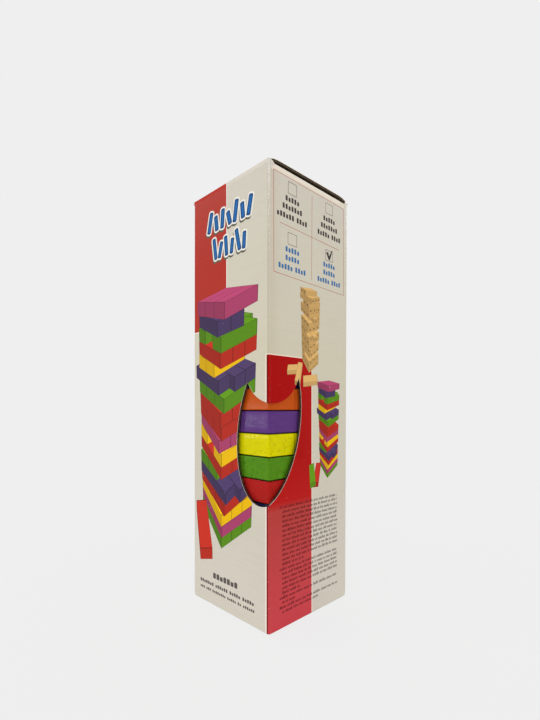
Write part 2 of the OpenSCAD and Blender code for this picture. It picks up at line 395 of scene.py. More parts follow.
def cornerRadiusAt(height):
    # the radius grows smoothly from its usual value to the crushed one at the floor
    share = np.clip(1 - height / carton["crushedHeight"], 0, 1)
    share = share * share * (3 - 2 * share)
    return carton["cornerRadius"] + share * (carton["baseCornerRadius"] - carton["cornerRadius"])


def foldValley(along):
    # a bell curve of the distance to the middle of the faint valley that runs beside each upright fold
    fromFold = np.abs((along + carton["half"]) % carton["wall"] - carton["half"])
    return carton["creaseDepth"] * np.exp(-((fromFold - carton["creaseAt"]) / carton["creaseWidth"]) ** 2)


def onWalls(along, height, depth):
    inset = np.asarray(depth, float) + foldValley(along) - cornerNib(along, height)
    return roundTheWalls(along, inset, np.asarray(height, float), cornerRadiusAt(height))


def creaseAbove(along):
    # height of the crease at the top of the wall there: the back wall and its corners have none
    wall = carton["wall"]
    reach = wall / 2 + carton["cornerRadius"] + carton["cornerSlit"] / 2
    isFront = np.abs(along + wall / 2) < reach
    isBack = (np.abs(along - 1.5 * wall) < reach) | (np.abs(along + 2.5 * wall) < reach)
    return np.where(isFront, creases["front"], np.where(isBack, np.inf, creases["side"]))


def squared(turn):
    # a fold's radius as a share of its circle's: one, and more by the squared sine of twice the angle
    return 1 + board["squareness"] * np.sin(2 * np.clip(turn, 0, math.pi / 2)) ** 2


nibs = {"widths": (1.1, 0.35), "rise": 0.8, "places": ((-1, 295.4, 1.0), (1, 293.1, 1.8))}


def cornerNib(along, height):
    # At the top of two upright folds the paper stands out a little: a bell curve of the distance to the fold,
    # narrower towards the near corner, rising smoothly from a height on. A place is the fold's position in
    # walls, that height and how far out
    out = np.zeros(np.shape(along))
    for fold, start, reach in nibs["places"]:
        share = np.clip((height - start) / nibs["rise"], 0, 1)
        share = share * share * (3 - 2 * share)
        fromFold = (along - fold * carton["wall"]) * fold
        width = np.where(fromFold > 0, *nibs["widths"])
        out = out + reach * share * np.exp(-(fromFold / width) ** 2)
    return out


def overTheFolds(along, height, depth):
    # The outer liner goes on past the wall: at the top it turns half round the crease on a squared circle of
    # half the board's thickness, and at the base it turns under through a quarter circle
    bead, base = board["bead"], carton["baseRadius"]
    crease = creaseAbove(along)
    over = np.clip((height - np.minimum(crease, 1e6)) / bead, 0, math.pi)
    under = np.clip((base - height) / (2 * base), 0, 1) * math.pi / 2
    radius = (bead - depth) * squared(over)
    inset = np.where(over > 0, bead - radius * np.cos(over),
                     base - (base - depth) * np.cos(under)) + foldValley(along) * (over < math.pi / 2)
    inset = inset - cornerNib(along, height) * np.clip(np.cos(over), 0, 1)
    level = np.where(over > 0, crease + radius * np.sin(over),
                     np.where(under > 0, base - (base - depth) * np.sin(under), height))
    level = np.where(np.isfinite(level), level, height)
    return roundTheWalls(along, inset, level, cornerRadiusAt(height))


def bulging(turn):
    # how a fold's liner stands out: the squared sine of the angle, as far as half a turn
    return np.sin(np.clip(turn, 0, math.pi)) ** 2


def onLid(across, reach, depth):
    # The lid is sprung up a little about its crease and bows up between its creases: the height of the bow
    # grows from each crease as one minus an exponential, from a share of it at the tuck's crease. Past that
    # crease its liner turns down on a squared circle of half the board's thickness, bulging by a squared sine
    bead = board["bead"]
    over = np.maximum(reach - lid["depth"], 0) / bead
    radius = (bead - depth) * squared(over) + lid["bulge"] * bulging(over)
    along = np.minimum(reach, lid["depth"]) + radius * np.sin(over)
    fromFront, fromTuck = np.maximum(reach - lid["innerStart"], 0), np.maximum(lid["depth"] - reach, 0)
    bow = lid["bow"] * ((1 - np.exp(-fromFront / lid["bowRise"]))
                        * (1 - (1 - lid["bowEnd"]) * np.exp(-fromTuck / lid["bowFall"])))
    above = radius * np.cos(over) + bow * np.maximum(np.cos(over), 0)
    hinge, spring = hinges["lid_hinge"], lid["spring"]
    return np.column_stack([across, hinge[1] + along * math.cos(spring) - above * math.sin(spring),
                            hinge[2] + along * math.sin(spring) + above * math.cos(spring)])


def onTuck(across, reach, depth):
    # the tuck flap leans in from the back wall
    hinge, lean, out = hinges["tuck_hinge"], tuck["lean"], board["bead"] - depth
    return np.column_stack([across, hinge[1] - reach * math.sin(lean) + out * math.cos(lean),
                            hinge[2] - reach * math.cos(lean) - out * math.sin(lean)])


def onDustRight(across, reach, depth):
    # a dust flap lies level, and reaches inwards from the crease on its side wall
    hinge = hinges["dust_flap_right_hinge"]
    return np.column_stack([hinge[0] - reach, across, hinge[2] + board["bead"] - depth])


def onDustLeft(across, reach, depth):
    return onDustRight(across, reach, depth) * np.array([-1, 1, 1])


# Printing, as shapes and inks in the order in which they are printed. A wall's own first coordinate runs from
# its left edge, seen from outside

titleTiles = {
    "rows": [(268.0, 283.3, 17.0, 67.1, (-14, 8, -5, 16, -10, 6, -13)),
             (247.6, 263.4, 23.0, 61.1, (9, -15, 5, -8, 14, -4))],
    "heights": (1.0, 0.74, 0.9, 0.68),
    "fill": 0.60,                      # share of its place that a tile is wide
    "radius": 1.1,
    "outline": 1.15,
    "shadow": (-0.5, -1.3),
    "gleam": 0.5,                      # share of a tile's width that is printed lighter
    "gleamShorter": 2.2,               # how much shorter than the tile that is
    "gleamRound": 2.2,                 # its width over the radius of its corners
}


def titlePrint():
    # two rows of plain leaning tiles across the top: shadows, white outlines, tiles, and then their gleams
    tiles, heights = [], titleTiles["heights"]
    for bottom, top, left, right, leans in titleTiles["rows"]:
        pitch = (right - left) / len(leans)
        for k, lean in enumerate(leans):
            height = (top - bottom) * heights[k % len(heights)]
            centre = (left + (k + 0.5) * pitch, bottom + height / 2)
            tiles.append((centre, (pitch * titleTiles["fill"], height), lean))
    outline, radius = titleTiles["outline"], titleTiles["radius"]
    around = [(c, (w + 2 * outline, h + 2 * outline), lean) for c, (w, h), lean in tiles]
    shadow = titleTiles["shadow"]
    gleams = [(c, (w * titleTiles["gleam"], h - titleTiles["gleamShorter"]), lean)
              for c, (w, h), lean in tiles]
    return ([(roundedTile((c[0] + shadow[0], c[1] + shadow[1]), size, radius + outline, lean), inks["shadow"])
             for c, size, lean in around]
            + [(roundedTile(c, size, radius + outline, lean), inks["edge"]) for c, size, lean in around]
            + [(roundedTile(c, size, radius, lean), inks["titleEdge"]) for c, size, lean in tiles]
            + [(roundedTile(c, size, size[0] / titleTiles["gleamRound"], lean), inks["titleBlue"])
               for c, size, lean in gleams])


# in widths of a block, as are all lengths in the pictures
towerView = {"turn": 53.0, "distance": 14.0, "height": 14.2, "aim": 10.0}
towerBlock = {"length": 3.0, "width": 1.0, "height": 0.68, "pitch": 1.02}
pictureTones = {"top": 1.12, "right": 1.0, "left": 0.88, "joint": 0.62}
pictureShares = {"face": 0.97, "mark": 0.36}     # how much of a face its own ink and its mark cover
pictureColours = {
    "magenta": (168, 64, 106), "navy": (72, 56, 98), "yellow": (236, 186, 4), "red": (180, 42, 28),
    "green": (88, 138, 20), "tan": (202, 162, 104),
}
paintedTower = {
    "layers": ["green", "magenta", "yellow", "red", "navy", "green", "red", "yellow", "magenta", "red", "red",
               "green", "navy", "yellow", "red", "green", "navy", "magenta"],
    "missing": [(5, 0), (10, 2), (13, 0), (16, 2)],
    "pushed": {(4, 1): 0.5, (7, 1): 0.7, (12, 0): -0.5, (15, 1): 0.6},
    "twist": {3: 5, 4: 9, 5: 9, 8: -4, 11: 5, 12: 5, 13: 4, 16: -5, 17: 6},
    "lying": [((0.1, -2.4), 158, "red")],
    "marked": False,
}
smallTower = {**paintedTower, "lying": [((-0.3, -2.9), 140, "red"), ((-0.9, -3.7), 160, "green")]}
plainTower = {
    "layers": ["tan"] * 18,
    "missing": [(3, 0), (6, 2), (9, 0), (12, 0), (15, 2), (17, 0)],
    "pushed": {(3, 1): 0.4, (8, 1): 0.6, (12, 1): 0.5},
    "twist": {4: 4, 5: 7, 10: -4, 16: 14},
    "lying": [((0.5, -3.5), 140, "tan"), ((-0.5, -4.0), 60, "tan"), ((2.8, -2.1), 60, "tan")],
    "marked": True,                    # small dark marks on the blocks' ends
}


def pictureBlocks(tower):
    # every block of a pictured tower as centre, size, turn in degrees and colour, from the floor up, and then
    # the ones that lie beside it
    length, width, height, pitch = (towerBlock[key] for key in ("length", "width", "height", "pitch"))
    blocks = []
    for layer, colour in enumerate(tower["layers"]):
        turn = tower["twist"].get(layer, 0) + (90 if layer % 2 else 0)
        for place in range(3):
            if (layer, place) in tower["missing"]:
                continue
            angle = math.radians(turn)
            out, across = tower["pushed"].get((layer, place), 0), (place - 1) * pitch
            centre = (out * math.cos(angle) - across * math.sin(angle),
                      out * math.sin(angle) + across * math.cos(angle), (layer + 0.5) * height)
            blocks.append((centre, (length, width, height), turn, colour))
    return blocks + [((x, y, 0.5 * height), (length, width, height), turn, colour)
                     for (x, y), turn, colour in tower["lying"]]


def towerPicture(tower, left, bottom, scale):
    # Draws a tower of blocks in perspective from above. Each block is a dark shape with its three near faces
    # over it, a little smaller, so that thin dark joints show. Far blocks come first
    turn = math.radians(towerView["turn"])
    rightward = np.array([math.cos(turn), math.sin(turn), 0])
    forward = np.array([-math.sin(turn), math.cos(turn), 0])
    eye = -forward * towerView["distance"] + np.array([0, 0, towerView["height"]])
    aim = np.array([0, 0, towerView["aim"]]) - eye
    aim /= np.linalg.norm(aim)
    upward = np.cross(rightward, aim)

    def project(points):
        seen = points - eye
        flat = np.column_stack([seen @ rightward, seen @ upward])
        return flat * (towerView["distance"] / (seen @ aim))[:, None]

    shapes = []
    blocks = pictureBlocks(tower)
    standing = len(blocks) - len(tower["lying"])
    order = sorted(range(len(blocks)), key=lambda k: (k >= standing, round(blocks[k][0][2], 3),
                                                      -(np.array(blocks[k][0]) @ forward)))
    for k in order:
        centre, size, spin, colour = blocks[k]
        colour = np.array(pictureColours[colour], float)
        angle = math.radians(spin)
        axes = np.array([[math.cos(angle), math.sin(angle), 0], [-math.sin(angle), math.cos(angle), 0],
                         [0, 0, 1]])
        reach = np.array(size) / 2
        for axis in range(3):
            for sign in (-1, 1):
                normal = axes[axis] * sign
                face = np.array(centre) + normal * reach[axis]
                if (eye - face) @ normal <= 0:
                    continue
                one, two = (axes[(axis + step) % 3] * reach[(axis + step) % 3] for step in (1, 2))
                corners = project(face + np.array([one + two, two - one, -one - two, one - two]))
                side = "top" if axis == 2 else "right" if normal @ rightward > 0 else "left"
                ink = np.minimum(colour * pictureTones[side], 255)
                middle, dark = corners.mean(axis=0), pictureTones["joint"]
                shapes.append((corners, tuple(colour * dark)))
                shapes.append((middle + (corners - middle) * pictureShares["face"], tuple(ink)))
                if axis == 0 and tower["marked"]:
                    shapes.append((middle + (corners - middle) * pictureShares["mark"], tuple(ink * dark)))
    foot = project(np.array([[0.0, 0.0, 0.0]]))[0]
    return [(np.array([left, bottom]) + (corners - foot) * scale, ink) for corners, ink in shapes]


rowTiles = {"short": 0.78, "radius": 0.22, "stride": 7, "every": 3}    # about one tile in three is shorter


def tileRow(left, bottom, groups, size, gap, ink):
    # a row of small plain tiles in groups
    shapes = []
    width, height = size
    radius = width * rowTiles["radius"]
    for count in groups:
        for k in range(count):
            isTall = (k * rowTiles["stride"] + count) % rowTiles["every"]
            tall = height * (1.0 if isTall else rowTiles["short"])
            shapes.append((roundedTile((left + width / 2, bottom + tall / 2), (width, tall), radius), ink))
            left += width + gap
        left += width
    return shapes


finePrint = {
    "seed": 11,
    "left": 12.0, "markerLeft": 9.6, "right": 70.5,
    "top": 77.1, "pitch": 3.07,
    "paragraphs": [(13, 0.36), (6, 0.28), (2, 0.20), (2, 0.62)],   # lines, and how far the last one runs
    "stroke": (0.36, 0.64), "gap": (0.22, 0.36), "space": 0.95,
    "small": 1.35, "tall": 2.0, "tallShare": 0.22,
    "word": (2, 10),                   # fewest and most strokes in a group
    "fullRun": 0.985,                  # a full line runs at least this share of the width
}


def finePrintRows(stripeEdge):
    # rows of short upright strokes in groups, darker red where they cross the stripe
    chance = np.random.RandomState(finePrint["seed"])
    shapes, line = [], 0
    for lines, lastRun in finePrint["paragraphs"]:
        for k in range(lines):
            base = finePrint["top"] - line * finePrint["pitch"]
            line += 1
            run = lastRun if k == lines - 1 else chance.uniform(finePrint["fullRun"], 1)
            at = finePrint["markerLeft"] if k == 0 else finePrint["left"]
            end = finePrint["left"] + run * (finePrint["right"] - finePrint["left"])
            inWord, wordLength = 0, chance.randint(*finePrint["word"])
            while at < end:
                width = chance.uniform(*finePrint["stroke"])
                height = finePrint["tall"] if chance.rand() < finePrint["tallShare"] else finePrint["small"]
                ink = inks["textOnRed"] if at + width / 2 < stripeEdge else inks["textGrey"]
                shapes.append((rectangle(at, base, at + width, base + height), ink))
                at += width + chance.uniform(*finePrint["gap"])
                inWord += 1
                if inWord > wordLength:
                    at += finePrint["space"]
                    inWord, wordLength = 0, chance.randint(*finePrint["word"])
    return shapes


frontDesign = {
    "stripe": (0.0, 39.1, 198.0),          # left, right and bottom of the red stripe, which runs to the top
    "border": 0.7,
    "topFade": (250.0, 290.0),             # the stripe gets a little paler between these heights
    "tower": (37.98, 67.19, 15.695),       # foot of the tower picture and its scale
    "notes": [(24.0, 19.4, (7,), (3.2, 4.0), 0.75), (8.5, 13.4, (7, 6, 5, 5), (1.8, 2.4), 0.55),
              (8.5, 9.0, (3, 3, 8, 5, 2, 6), (1.45, 1.9), 0.5)],
}
sideDesign = {
    "stripe": (-2.2, 41.2, 175.2),         # left, right and top of the red stripe, which runs to the base
    "foldBorder": 1.2,                     # its bright border on the other side of the corner
    "foldShadeBand": -0.8,                      # painted shade where the stripe turns the corner
    "gleam": (0.3, 1.6),                   # and a painted highlight line beside it
    "paleTop": 79.2, "paleFade": 3.0,      # where the ink gets paler, and over how far
    "warm": (108.0, 84.0),                 # between these heights it gets a little lighter first
    "bright": (20.0, 38.0),                # between these places the brighter ink by the fold ends
    "fadeSteps": 9,
    # the painted highlight along the wall's top starts at this height, inset from both ends
    "topEdge": 292.3, "topEdgeInset": 2.0,
    "frame": [(4.3, 228.0), (78.7, 226.7), (78.7, 291.6), (4.1, 292.4)], "frameLine": 0.38,
    "across": ((9.5, 260.7), (73.4, 259.2)), "upright": ((41.2, 230.3), (41.8, 288.7)),
    "boxes": [(17.7, 282.0, 25.7, 289.7), (57, 282.1, 65, 289.3), (17.4, 248.8, 25.9, 256.4),
              (56.7, 248.2, 65.1, 255.6)],
    "boxLine": 0.36, "ticked": 3,
    "tick": [(0.6, 5.6), (3.4, 6.2), (4.2, 3.4), (7.6, 8.6), (8.3, 8.3), (5.2, 0.7), (3.6, 0.9)],
    "rows": [(0, 276.6, (5,)), (0, 271.0, (7,)), (0, 265.0, (6, 4)), (1, 276.1, (5,)), (1, 270.5, (7,)),
             (1, 264.5, (5, 4)), (2, 243.5, (5,)), (2, 237.9, (5,)), (2, 231.7, (5, 4)), (3, 243.0, (5,)),
             (3, 237.4, (5,)), (3, 231.3, (5, 4))],
    "rowTile": (1.9, 3.5), "rowGap": 0.9,
    "plainTower": (39.92, 173.75, 5.022),
    "smallTower": (60.58, 100.66, 6.061),
}
foldDesign = {
    "shade": (-1.5, -0.2), "light": (-0.2, 1.2), "dim": (3.0, 12.0),       # faint strips by the fold: painted shade and painted light
    "low": 176.0,
    "nib": (-1.2, 295.8, 0.6, 297.8),
}


def frontPrint(offset):
    # the front wall's printing, moved along the walls to where a wall begins
    left, right, bottom = frontDesign["stripe"]
    top = creases["front"] + printOver
    border = frontDesign["border"]
    shapes = [(rectangle(left, bottom, right + border, top), inks["edge"])]
    steps = np.append(bottom + border, np.linspace(*frontDesign["topFade"], sideDesign["fadeSteps"] - 1))
    shapes += [(rectangle(left, low, right, top), ink)
               for low, ink in zip(steps, fadedInks("frontRed", "topRed"))]
    shapes += titlePrint()
    x0, y0, x1, y1 = foldDesign["nib"]
    shapes.append((rectangle(x0, y0, x1, y1), inks["kraft"]))
    shapes += towerPicture(paintedTower, *frontDesign["tower"])
    for start, base, groups, size, gap in frontDesign["notes"]:
        shapes += tileRow(start, base, groups, size, gap, inks["textGrey"])
    return [(shape + np.array([offset, 0]), ink) for shape, ink in shapes]


def fadedInks(first, second):
    # even steps from one ink to another
    share = np.linspace(0, 1, sideDesign["fadeSteps"])[:, None]
    return [tuple(ink) for ink in np.array(inks[first]) * (1 - share) + np.array(inks[second]) * share]


def sidePrint(offset):
    # the right wall's printing: a stripe that turns the near corner, a table of boxes, pictures and strokes
    left, right, top = sideDesign["stripe"]
    border, low, high = frontDesign["border"], -carton["baseRadius"], creases["front"] + printOver
    # painted shade by the near fold: a fade to a dimmer tone, then a darker strip and a lighter strip of
    # painted light
    shapes = [(rectangle(0.0, foldDesign["low"], edge, high), ink)
              for edge, ink in zip(np.linspace(*foldDesign["dim"][::-1], sideDesign["fadeSteps"]),
                                   fadedInks("paper", "foldPaintedDim"))]
    shapes += [(rectangle(start, foldDesign["low"], end, high), inks[ink])
               for (start, end), ink in ((foldDesign["shade"], "foldPaintedShade"),
                                         (foldDesign["light"], "foldPaintedLight"))]
    inset, outside = sideDesign["topEdgeInset"], left - sideDesign["foldBorder"]
    # a painted highlight along the top of the wall
    shapes.append((rectangle(inset, sideDesign["topEdge"], carton["wall"] - inset, high), inks["topEdge"]))
    shapes.append((rectangle(outside, low, right + border, top + border), inks["cream"]))
    shapes.append((rectangle(left, low, right, top), inks["sideRed"]))
    pale, fading = sideDesign["paleTop"], sideDesign["paleFade"]
    steps = np.linspace(*sideDesign["bright"], sideDesign["fadeSteps"])
    shapes += [(rectangle(left, pale, edge, top), ink)
               for edge, ink in zip(steps[::-1], fadedInks("sideRed", "brightRed"))]
    for start, end, first, second in ((*sideDesign["warm"], "sideRed", "warmRed"),
                                      (pale + fading, pale - fading, "warmRed", "palerRed"),
                                      (pale - fading, fading, "palerRed", "paleRed")):
        edges = np.linspace(start, end, sideDesign["fadeSteps"])
        shapes += [(rectangle(left, low, right, edge), ink)
                   for edge, ink in zip(edges, fadedInks(first, second))]
    # a painted highlight line beside the fold, and painted shade where the stripe turns it
    start, end = sideDesign["gleam"]
    shapes += [(rectangle(start, pale, end, top), inks["gleamHighlightRed"]),
               (rectangle(left, low, sideDesign["foldShadeBand"], top), inks["foldShadeRed"]),
               (rectangle(left, low, sideDesign["foldShadeBand"], pale), inks["foldShadePale"])]
    corners = sideDesign["frame"]
    lines = list(zip(corners, corners[1:] + corners[:1])) + [sideDesign["across"], sideDesign["upright"]]
    shapes += [(stroke(a, b, sideDesign["frameLine"]), inks["frameRed"]) for a, b in lines]
    for box in sideDesign["boxes"]:
        corners = rectangle(*box)
        shapes += [(stroke(a, b, sideDesign["boxLine"]), inks["textGrey"])
                   for a, b in zip(corners, np.roll(corners, -1, axis=0))]
    tickPlace = np.array(sideDesign["boxes"][sideDesign["ticked"]][:2])
    shapes.append((np.array(sideDesign["tick"]) + tickPlace, inks["textBlack"]))
    size, gap = sideDesign["rowTile"], sideDesign["rowGap"]
    for box, base, groups in sideDesign["rows"]:
        width = sum(groups) * (size[0] + gap) + (len(groups) - 1) * size[0] - gap
        middle = (sideDesign["boxes"][box][0] + sideDesign["boxes"][box][2]) / 2
        ink = inks["textBlack"] if box < 2 else inks["textBlue"]
        shapes += tileRow(middle - width / 2, base, groups, size, gap, ink)
    shapes += towerPicture(plainTower, *sideDesign["plainTower"])
    shapes += towerPicture(smallTower, *sideDesign["smallTower"])
    shapes += finePrintRows(right)
    return [(shape + np.array([offset, 0]), ink) for shape, ink in shapes]


# The window, cut across the near corner

window = {
    "height": 130.0, "shift": -0.2, "halfLength": 52.1, "halfWidth": 29.4, "lean": 13,
    "dipRadius": 26.5, "dipRise": 41.1, "dipShift": 3.1,
    "edgeSteps": 500, "dipSteps": 110, "searchSteps": 7201,
    "tornEdge": 0.22,                  # width of the torn white edge of the liner
    "tornRipple": 0.85,                # how much of that width comes and goes
    "fluteRoom": 4,                    # how far above and below it the flutes are made
}


def windowLoop(grow=0.0, ripple=0.0):
    # A leaning ellipse without the circle that dips into its top: the ellipse from one horn round the base to
    # the other, and then the circle's lower arc back. It can grow, and ripple twice in each flute
    lean = math.radians(window["lean"])
    centre = np.array([window["shift"], window["height"]])
    dip = np.array([window["dipShift"], window["height"] + window["dipRise"]])

    def onEllipse(turn):
        across, up = window["halfWidth"] * np.cos(turn), window["halfLength"] * np.sin(turn)
        return centre + np.column_stack([across * math.cos(lean) + up * math.sin(lean),
                                         -across * math.sin(lean) + up * math.cos(lean)])

    fine = np.linspace(0, 2 * math.pi, window["searchSteps"])
    covered = np.linalg.norm(onEllipse(fine) - dip, axis=1) < window["dipRadius"]
    rightHorn, leftHorn = fine[np.argmax(covered)], fine[len(fine) - 1 - np.argmax(covered[::-1])]
    edge = onEllipse(np.linspace(leftHorn, rightHorn + 2 * math.pi, window["edgeSteps"]))
    ends = np.degrees(np.arctan2(*(onEllipse(np.array([rightHorn, leftHorn])) - dip).T[::-1])) % 360
    arc = roundCorner(dip, window["dipRadius"], ends[0], ends[1] - 360, window["dipSteps"])[1:-1]
    loop = np.vstack([edge, arc])
    if grow:
        tangent = np.roll(loop, -1, axis=0) - np.roll(loop, 1, axis=0)
        tangent /= np.linalg.norm(tangent, axis=1)[:, None]
        width = grow * (1 + ripple * np.cos(4 * math.pi * loop[:, 1] / board["flutePitch"]))
        loop = loop + np.column_stack([tangent[:, 1], -tangent[:, 0]]) * width[:, None]
    return loop


# Materials

def put(tree, kind, inputs=None, **settings):
    # adds a shader node, sets what it is, and fills its inputs with values or with other nodes' outputs
    made = tree.nodes.new("ShaderNode" + kind)
    for name, value in settings.items():
        setattr(made, name, value)
    for name, value in (inputs or {}).items():
        if isinstance(value, bpy.types.NodeSocket):
            tree.links.new(value, made.inputs[name])
        else:
            made.inputs[name].default_value = value
    return made


def maths(tree, operation, first, second=0.0, clamp=False):
    return put(tree, "Math", {0: first, 1: second}, operation=operation, use_clamp=clamp).outputs[0]


def remap(tree, value, low, high, toLow=0.0, toHigh=1.0):
    # carries a value from one span to another, and holds it at the ends
    return put(tree, "MapRange", {"Value": value, "From Min": low, "From Max": high,
                                  "To Min": toLow, "To Max": toHigh}).outputs["Result"]


def noise(tree, point, scale, detail=2.0, roughness=0.5):
    return put(tree, "TexNoise", {"Vector": point, "Scale": scale, "Detail": detail,
                                  "Roughness": roughness}).outputs["Fac"]


def times(tree, vector, factors):
    return put(tree, "VectorMath", {0: vector, 1: factors}, operation="MULTIPLY").outputs[0]


def scaled(tree, colour, factor):
    # a colour made lighter or darker by a factor
    return put(tree, "VectorMath", {0: colour, "Scale": factor}, operation="SCALE").outputs[0]


def mixed(tree, factor, first, second):
    made = put(tree, "Mix", {0: factor, 6: first, 7: second}, data_type="RGBA")
    return made.outputs[2]


def newGroup(name, inputs, outputs):
    # an empty node group with named sockets, as kind and default for each
    group = bpy.data.node_groups.new(name, "ShaderNodeTree")
    for side, sockets in (("INPUT", inputs), ("OUTPUT", outputs)):
        for label, (kind, value) in sockets.items():
            socket = group.interface.new_socket(name=label, in_out=side, socket_type="NodeSocket" + kind)
            if value is not None:
                socket.default_value = value
    return group, group.nodes.new("NodeGroupInput").outputs, group.nodes.new("NodeGroupOutput").inputs


def useGroup(tree, group, inputs):
    made = tree.nodes.new("ShaderNodeGroup")
    made.node_tree = group
    for name, value in inputs.items():
        if isinstance(value, bpy.types.NodeSocket):
            tree.links.new(value, made.inputs[name])
        else:
            made.inputs[name].default_value = value
    return made.outputs


def newMaterial(name):
    material = bpy.data.materials.new(name)
    material.use_nodes = True
    tree = material.node_tree
    return material, tree, tree.nodes["Principled BSDF"]


def rgba(colour):
    return (*linear(colour), 1.0)


paperLook = {
    "streakScale": 42.0, "streakStretch": 0.12,    # in waves per 100 mm, like the other scales of the sheet
    "fibreScale": 380.0, "cloudScale": 2.4,
    "streak": 0.06, "fibre": 0.06, "cloud": 0.05,
    "washboard": 0.055,                            # height of the flutes that show through the liner, in mm
    "chipScale": 95.0, "speckScale": 64.0,
    "wearFrom": 2.2, "wearTo": 2.95,               # heights between which the folds' wear grows, in 100 mm
    "liftTo": 0.7, "lift": 1.08,                   # painted light: paler towards the base, below a height in 100 mm
    "yellowAt": 1.75, "yellowReach": 1.3, "yellow": 0.9,    # and yellower in the middle, where blue is weaker
    "gap": 6.0, "gapSamples": 8,                   # how far the painted shade in a gap reaches, in mm
    "fold": (0.3, 1.5),                            # from all worn to not worn, in mm from a fold
    "wear": (-0.1, 0.14), "chips": (0.57, 0.61), "specks": (0.80, 0.82), "bare": 0.85,
    "wave": 0.5, "bristle": 0.22,                  # the flutes' and the fibres' share of the relief
    "tones": (-0.3, 0.3), "rough": (0.36, 0.5), "specular": 0.06, "strength": 0.6,
}
# board browns, made darker partly as painted shade for cut edges and gaps; the last setting deepens the
# painted shade in narrow gaps
plainPapers = {
    "kraftLiner": {"colour": (118, 99, 76), "strength": 1.6, "roughness": 0.86, "gapShadePower": 1.5},
    "fluteMedium": {"colour": (84, 72, 56), "strength": 2.0, "roughness": 0.9, "gapShadePower": 0.2},
}
plainLook = {"relief": 0.8, "roughSwing": 0.06, "specular": 0.25}


def paperGrainGroup():
    # Printed paper: level streaks and fibres in its tone, and the flutes faintly showing through as waves
    tree, given, out = newGroup(
        "paperGrain",
        {"Sheet": ("Vector", None), "Ink": ("Color", None), "Strength": ("Float", 1.0)},
        {"Color": ("Color", None), "Tone": ("Float", None), "Height": ("Float", None)})
    sheet = given["Sheet"]
    stretched = times(tree, sheet, (paperLook["streakStretch"], 1.0, 1.0))
    streak = maths(tree, "SUBTRACT", noise(tree, stretched, paperLook["streakScale"], 3.0), 0.5)
    fibre = maths(tree, "SUBTRACT", noise(tree, sheet, paperLook["fibreScale"], 3.0, 0.7), 0.5)
    cloud = maths(tree, "SUBTRACT", noise(tree, sheet, paperLook["cloudScale"], 2.0), 0.5)
    tone = maths(tree, "ADD", maths(tree, "MULTIPLY", streak, 2 * paperLook["streak"]),
                 maths(tree, "ADD", maths(tree, "MULTIPLY", fibre, 2 * paperLook["fibre"]),
                       maths(tree, "MULTIPLY", cloud, 2 * paperLook["cloud"])))
    tone = maths(tree, "ADD", 1.0, maths(tree, "MULTIPLY", tone, given["Strength"]))
    across = put(tree, "SeparateXYZ", {0: sheet}).outputs["Y"]
    wave = maths(tree, "SINE", maths(tree, "MULTIPLY", across, 200 * math.pi / board["flutePitch"]))
    wave = maths(tree, "MULTIPLY", wave, paperLook["wave"])
    height = maths(tree, "ADD", wave, maths(tree, "MULTIPLY", fibre, paperLook["bristle"]))
    tree.links.new(scaled(tree, given["Ink"], tone), out["Color"])
    tree.links.new(maths(tree, "ADD", streak, fibre), out["Tone"])
    tree.links.new(height, out["Height"])
    return tree


def foldWearGroup():
    # White chips where a print is rubbed through along the upright folds, and a few specks elsewhere
    tree, given, out = newGroup("foldWear", {"Sheet": ("Vector", None), "Color": ("Color", None)},
                                {"Color": ("Color", None)})
    along = put(tree, "SeparateXYZ", {0: given["Sheet"]}).outputs["X"]
    fromFold = maths(tree, "PINGPONG", maths(tree, "MULTIPLY", along, 100.0), carton["half"])
    onFold = remap(tree, fromFold, *paperLook["fold"], 1.0, 0.0)
    low, high = paperLook["wearFrom"], paperLook["wearTo"]
    level = put(tree, "SeparateXYZ", {0: given["Sheet"]}).outputs["Y"]
    worn = remap(tree, level, low, high, *paperLook["wear"])
    patchy = maths(tree, "ADD", noise(tree, given["Sheet"], paperLook["chipScale"], 3.0, 0.6), worn)
    chips = remap(tree, patchy, *paperLook["chips"])
    specks = remap(tree, noise(tree, given["Sheet"], paperLook["speckScale"], 1.0), *paperLook["specks"])
    mask = maths(tree, "MAXIMUM", maths(tree, "MULTIPLY", onFold, chips), specks, True)
    bare = maths(tree, "MULTIPLY", mask, paperLook["bare"])
    tree.links.new(mixed(tree, bare, given["Color"], rgba(inks["edge"])), out["Color"])
    return tree


paperGrain = paperGrainGroup()
foldWear = foldWearGroup()


def printedPaperMaterial():
    material, tree, shader = newMaterial("printedPaper")
    sheet = put(tree, "UVMap", uv_map="sheet").outputs[0]
    ink = put(tree, "VertexColor", layer_name="ink").outputs["Color"]
    height = put(tree, "SeparateXYZ", {0: sheet}).outputs["Y"]
    # painted light: the paper is made paler towards the base, against the shade near the floor
    lift = remap(tree, height, 0.0, paperLook["liftTo"], paperLook["lift"], 1.0)
    fromMiddle = maths(tree, "ABSOLUTE", maths(tree, "SUBTRACT", height, paperLook["yellowAt"]))
    yellow = remap(tree, fromMiddle, 0.0, paperLook["yellowReach"], paperLook["yellow"], 1.0)
    tint = put(tree, "CombineXYZ", {0: lift, 1: lift, 2: maths(tree, "MULTIPLY", lift, yellow)}).outputs[0]
    grain = useGroup(tree, paperGrain, {"Sheet": sheet, "Ink": times(tree, ink, tint),
                                        "Strength": paperLook["strength"]})
    worn = useGroup(tree, foldWear, {"Sheet": sheet, "Color": grain["Color"]})["Color"]
    tree.links.new(worn, shader.inputs["Base Color"])
    tree.links.new(remap(tree, grain["Tone"], *paperLook["tones"], *paperLook["rough"]),
                   shader.inputs["Roughness"])
    bump = put(tree, "Bump", {"Strength": 1.0, "Distance": paperLook["washboard"] * mm,
                              "Height": grain["Height"]})
    tree.links.new(bump.outputs[0], shader.inputs["Normal"])
    shader.inputs["Specular IOR Level"].default_value = paperLook["specular"]
    return material


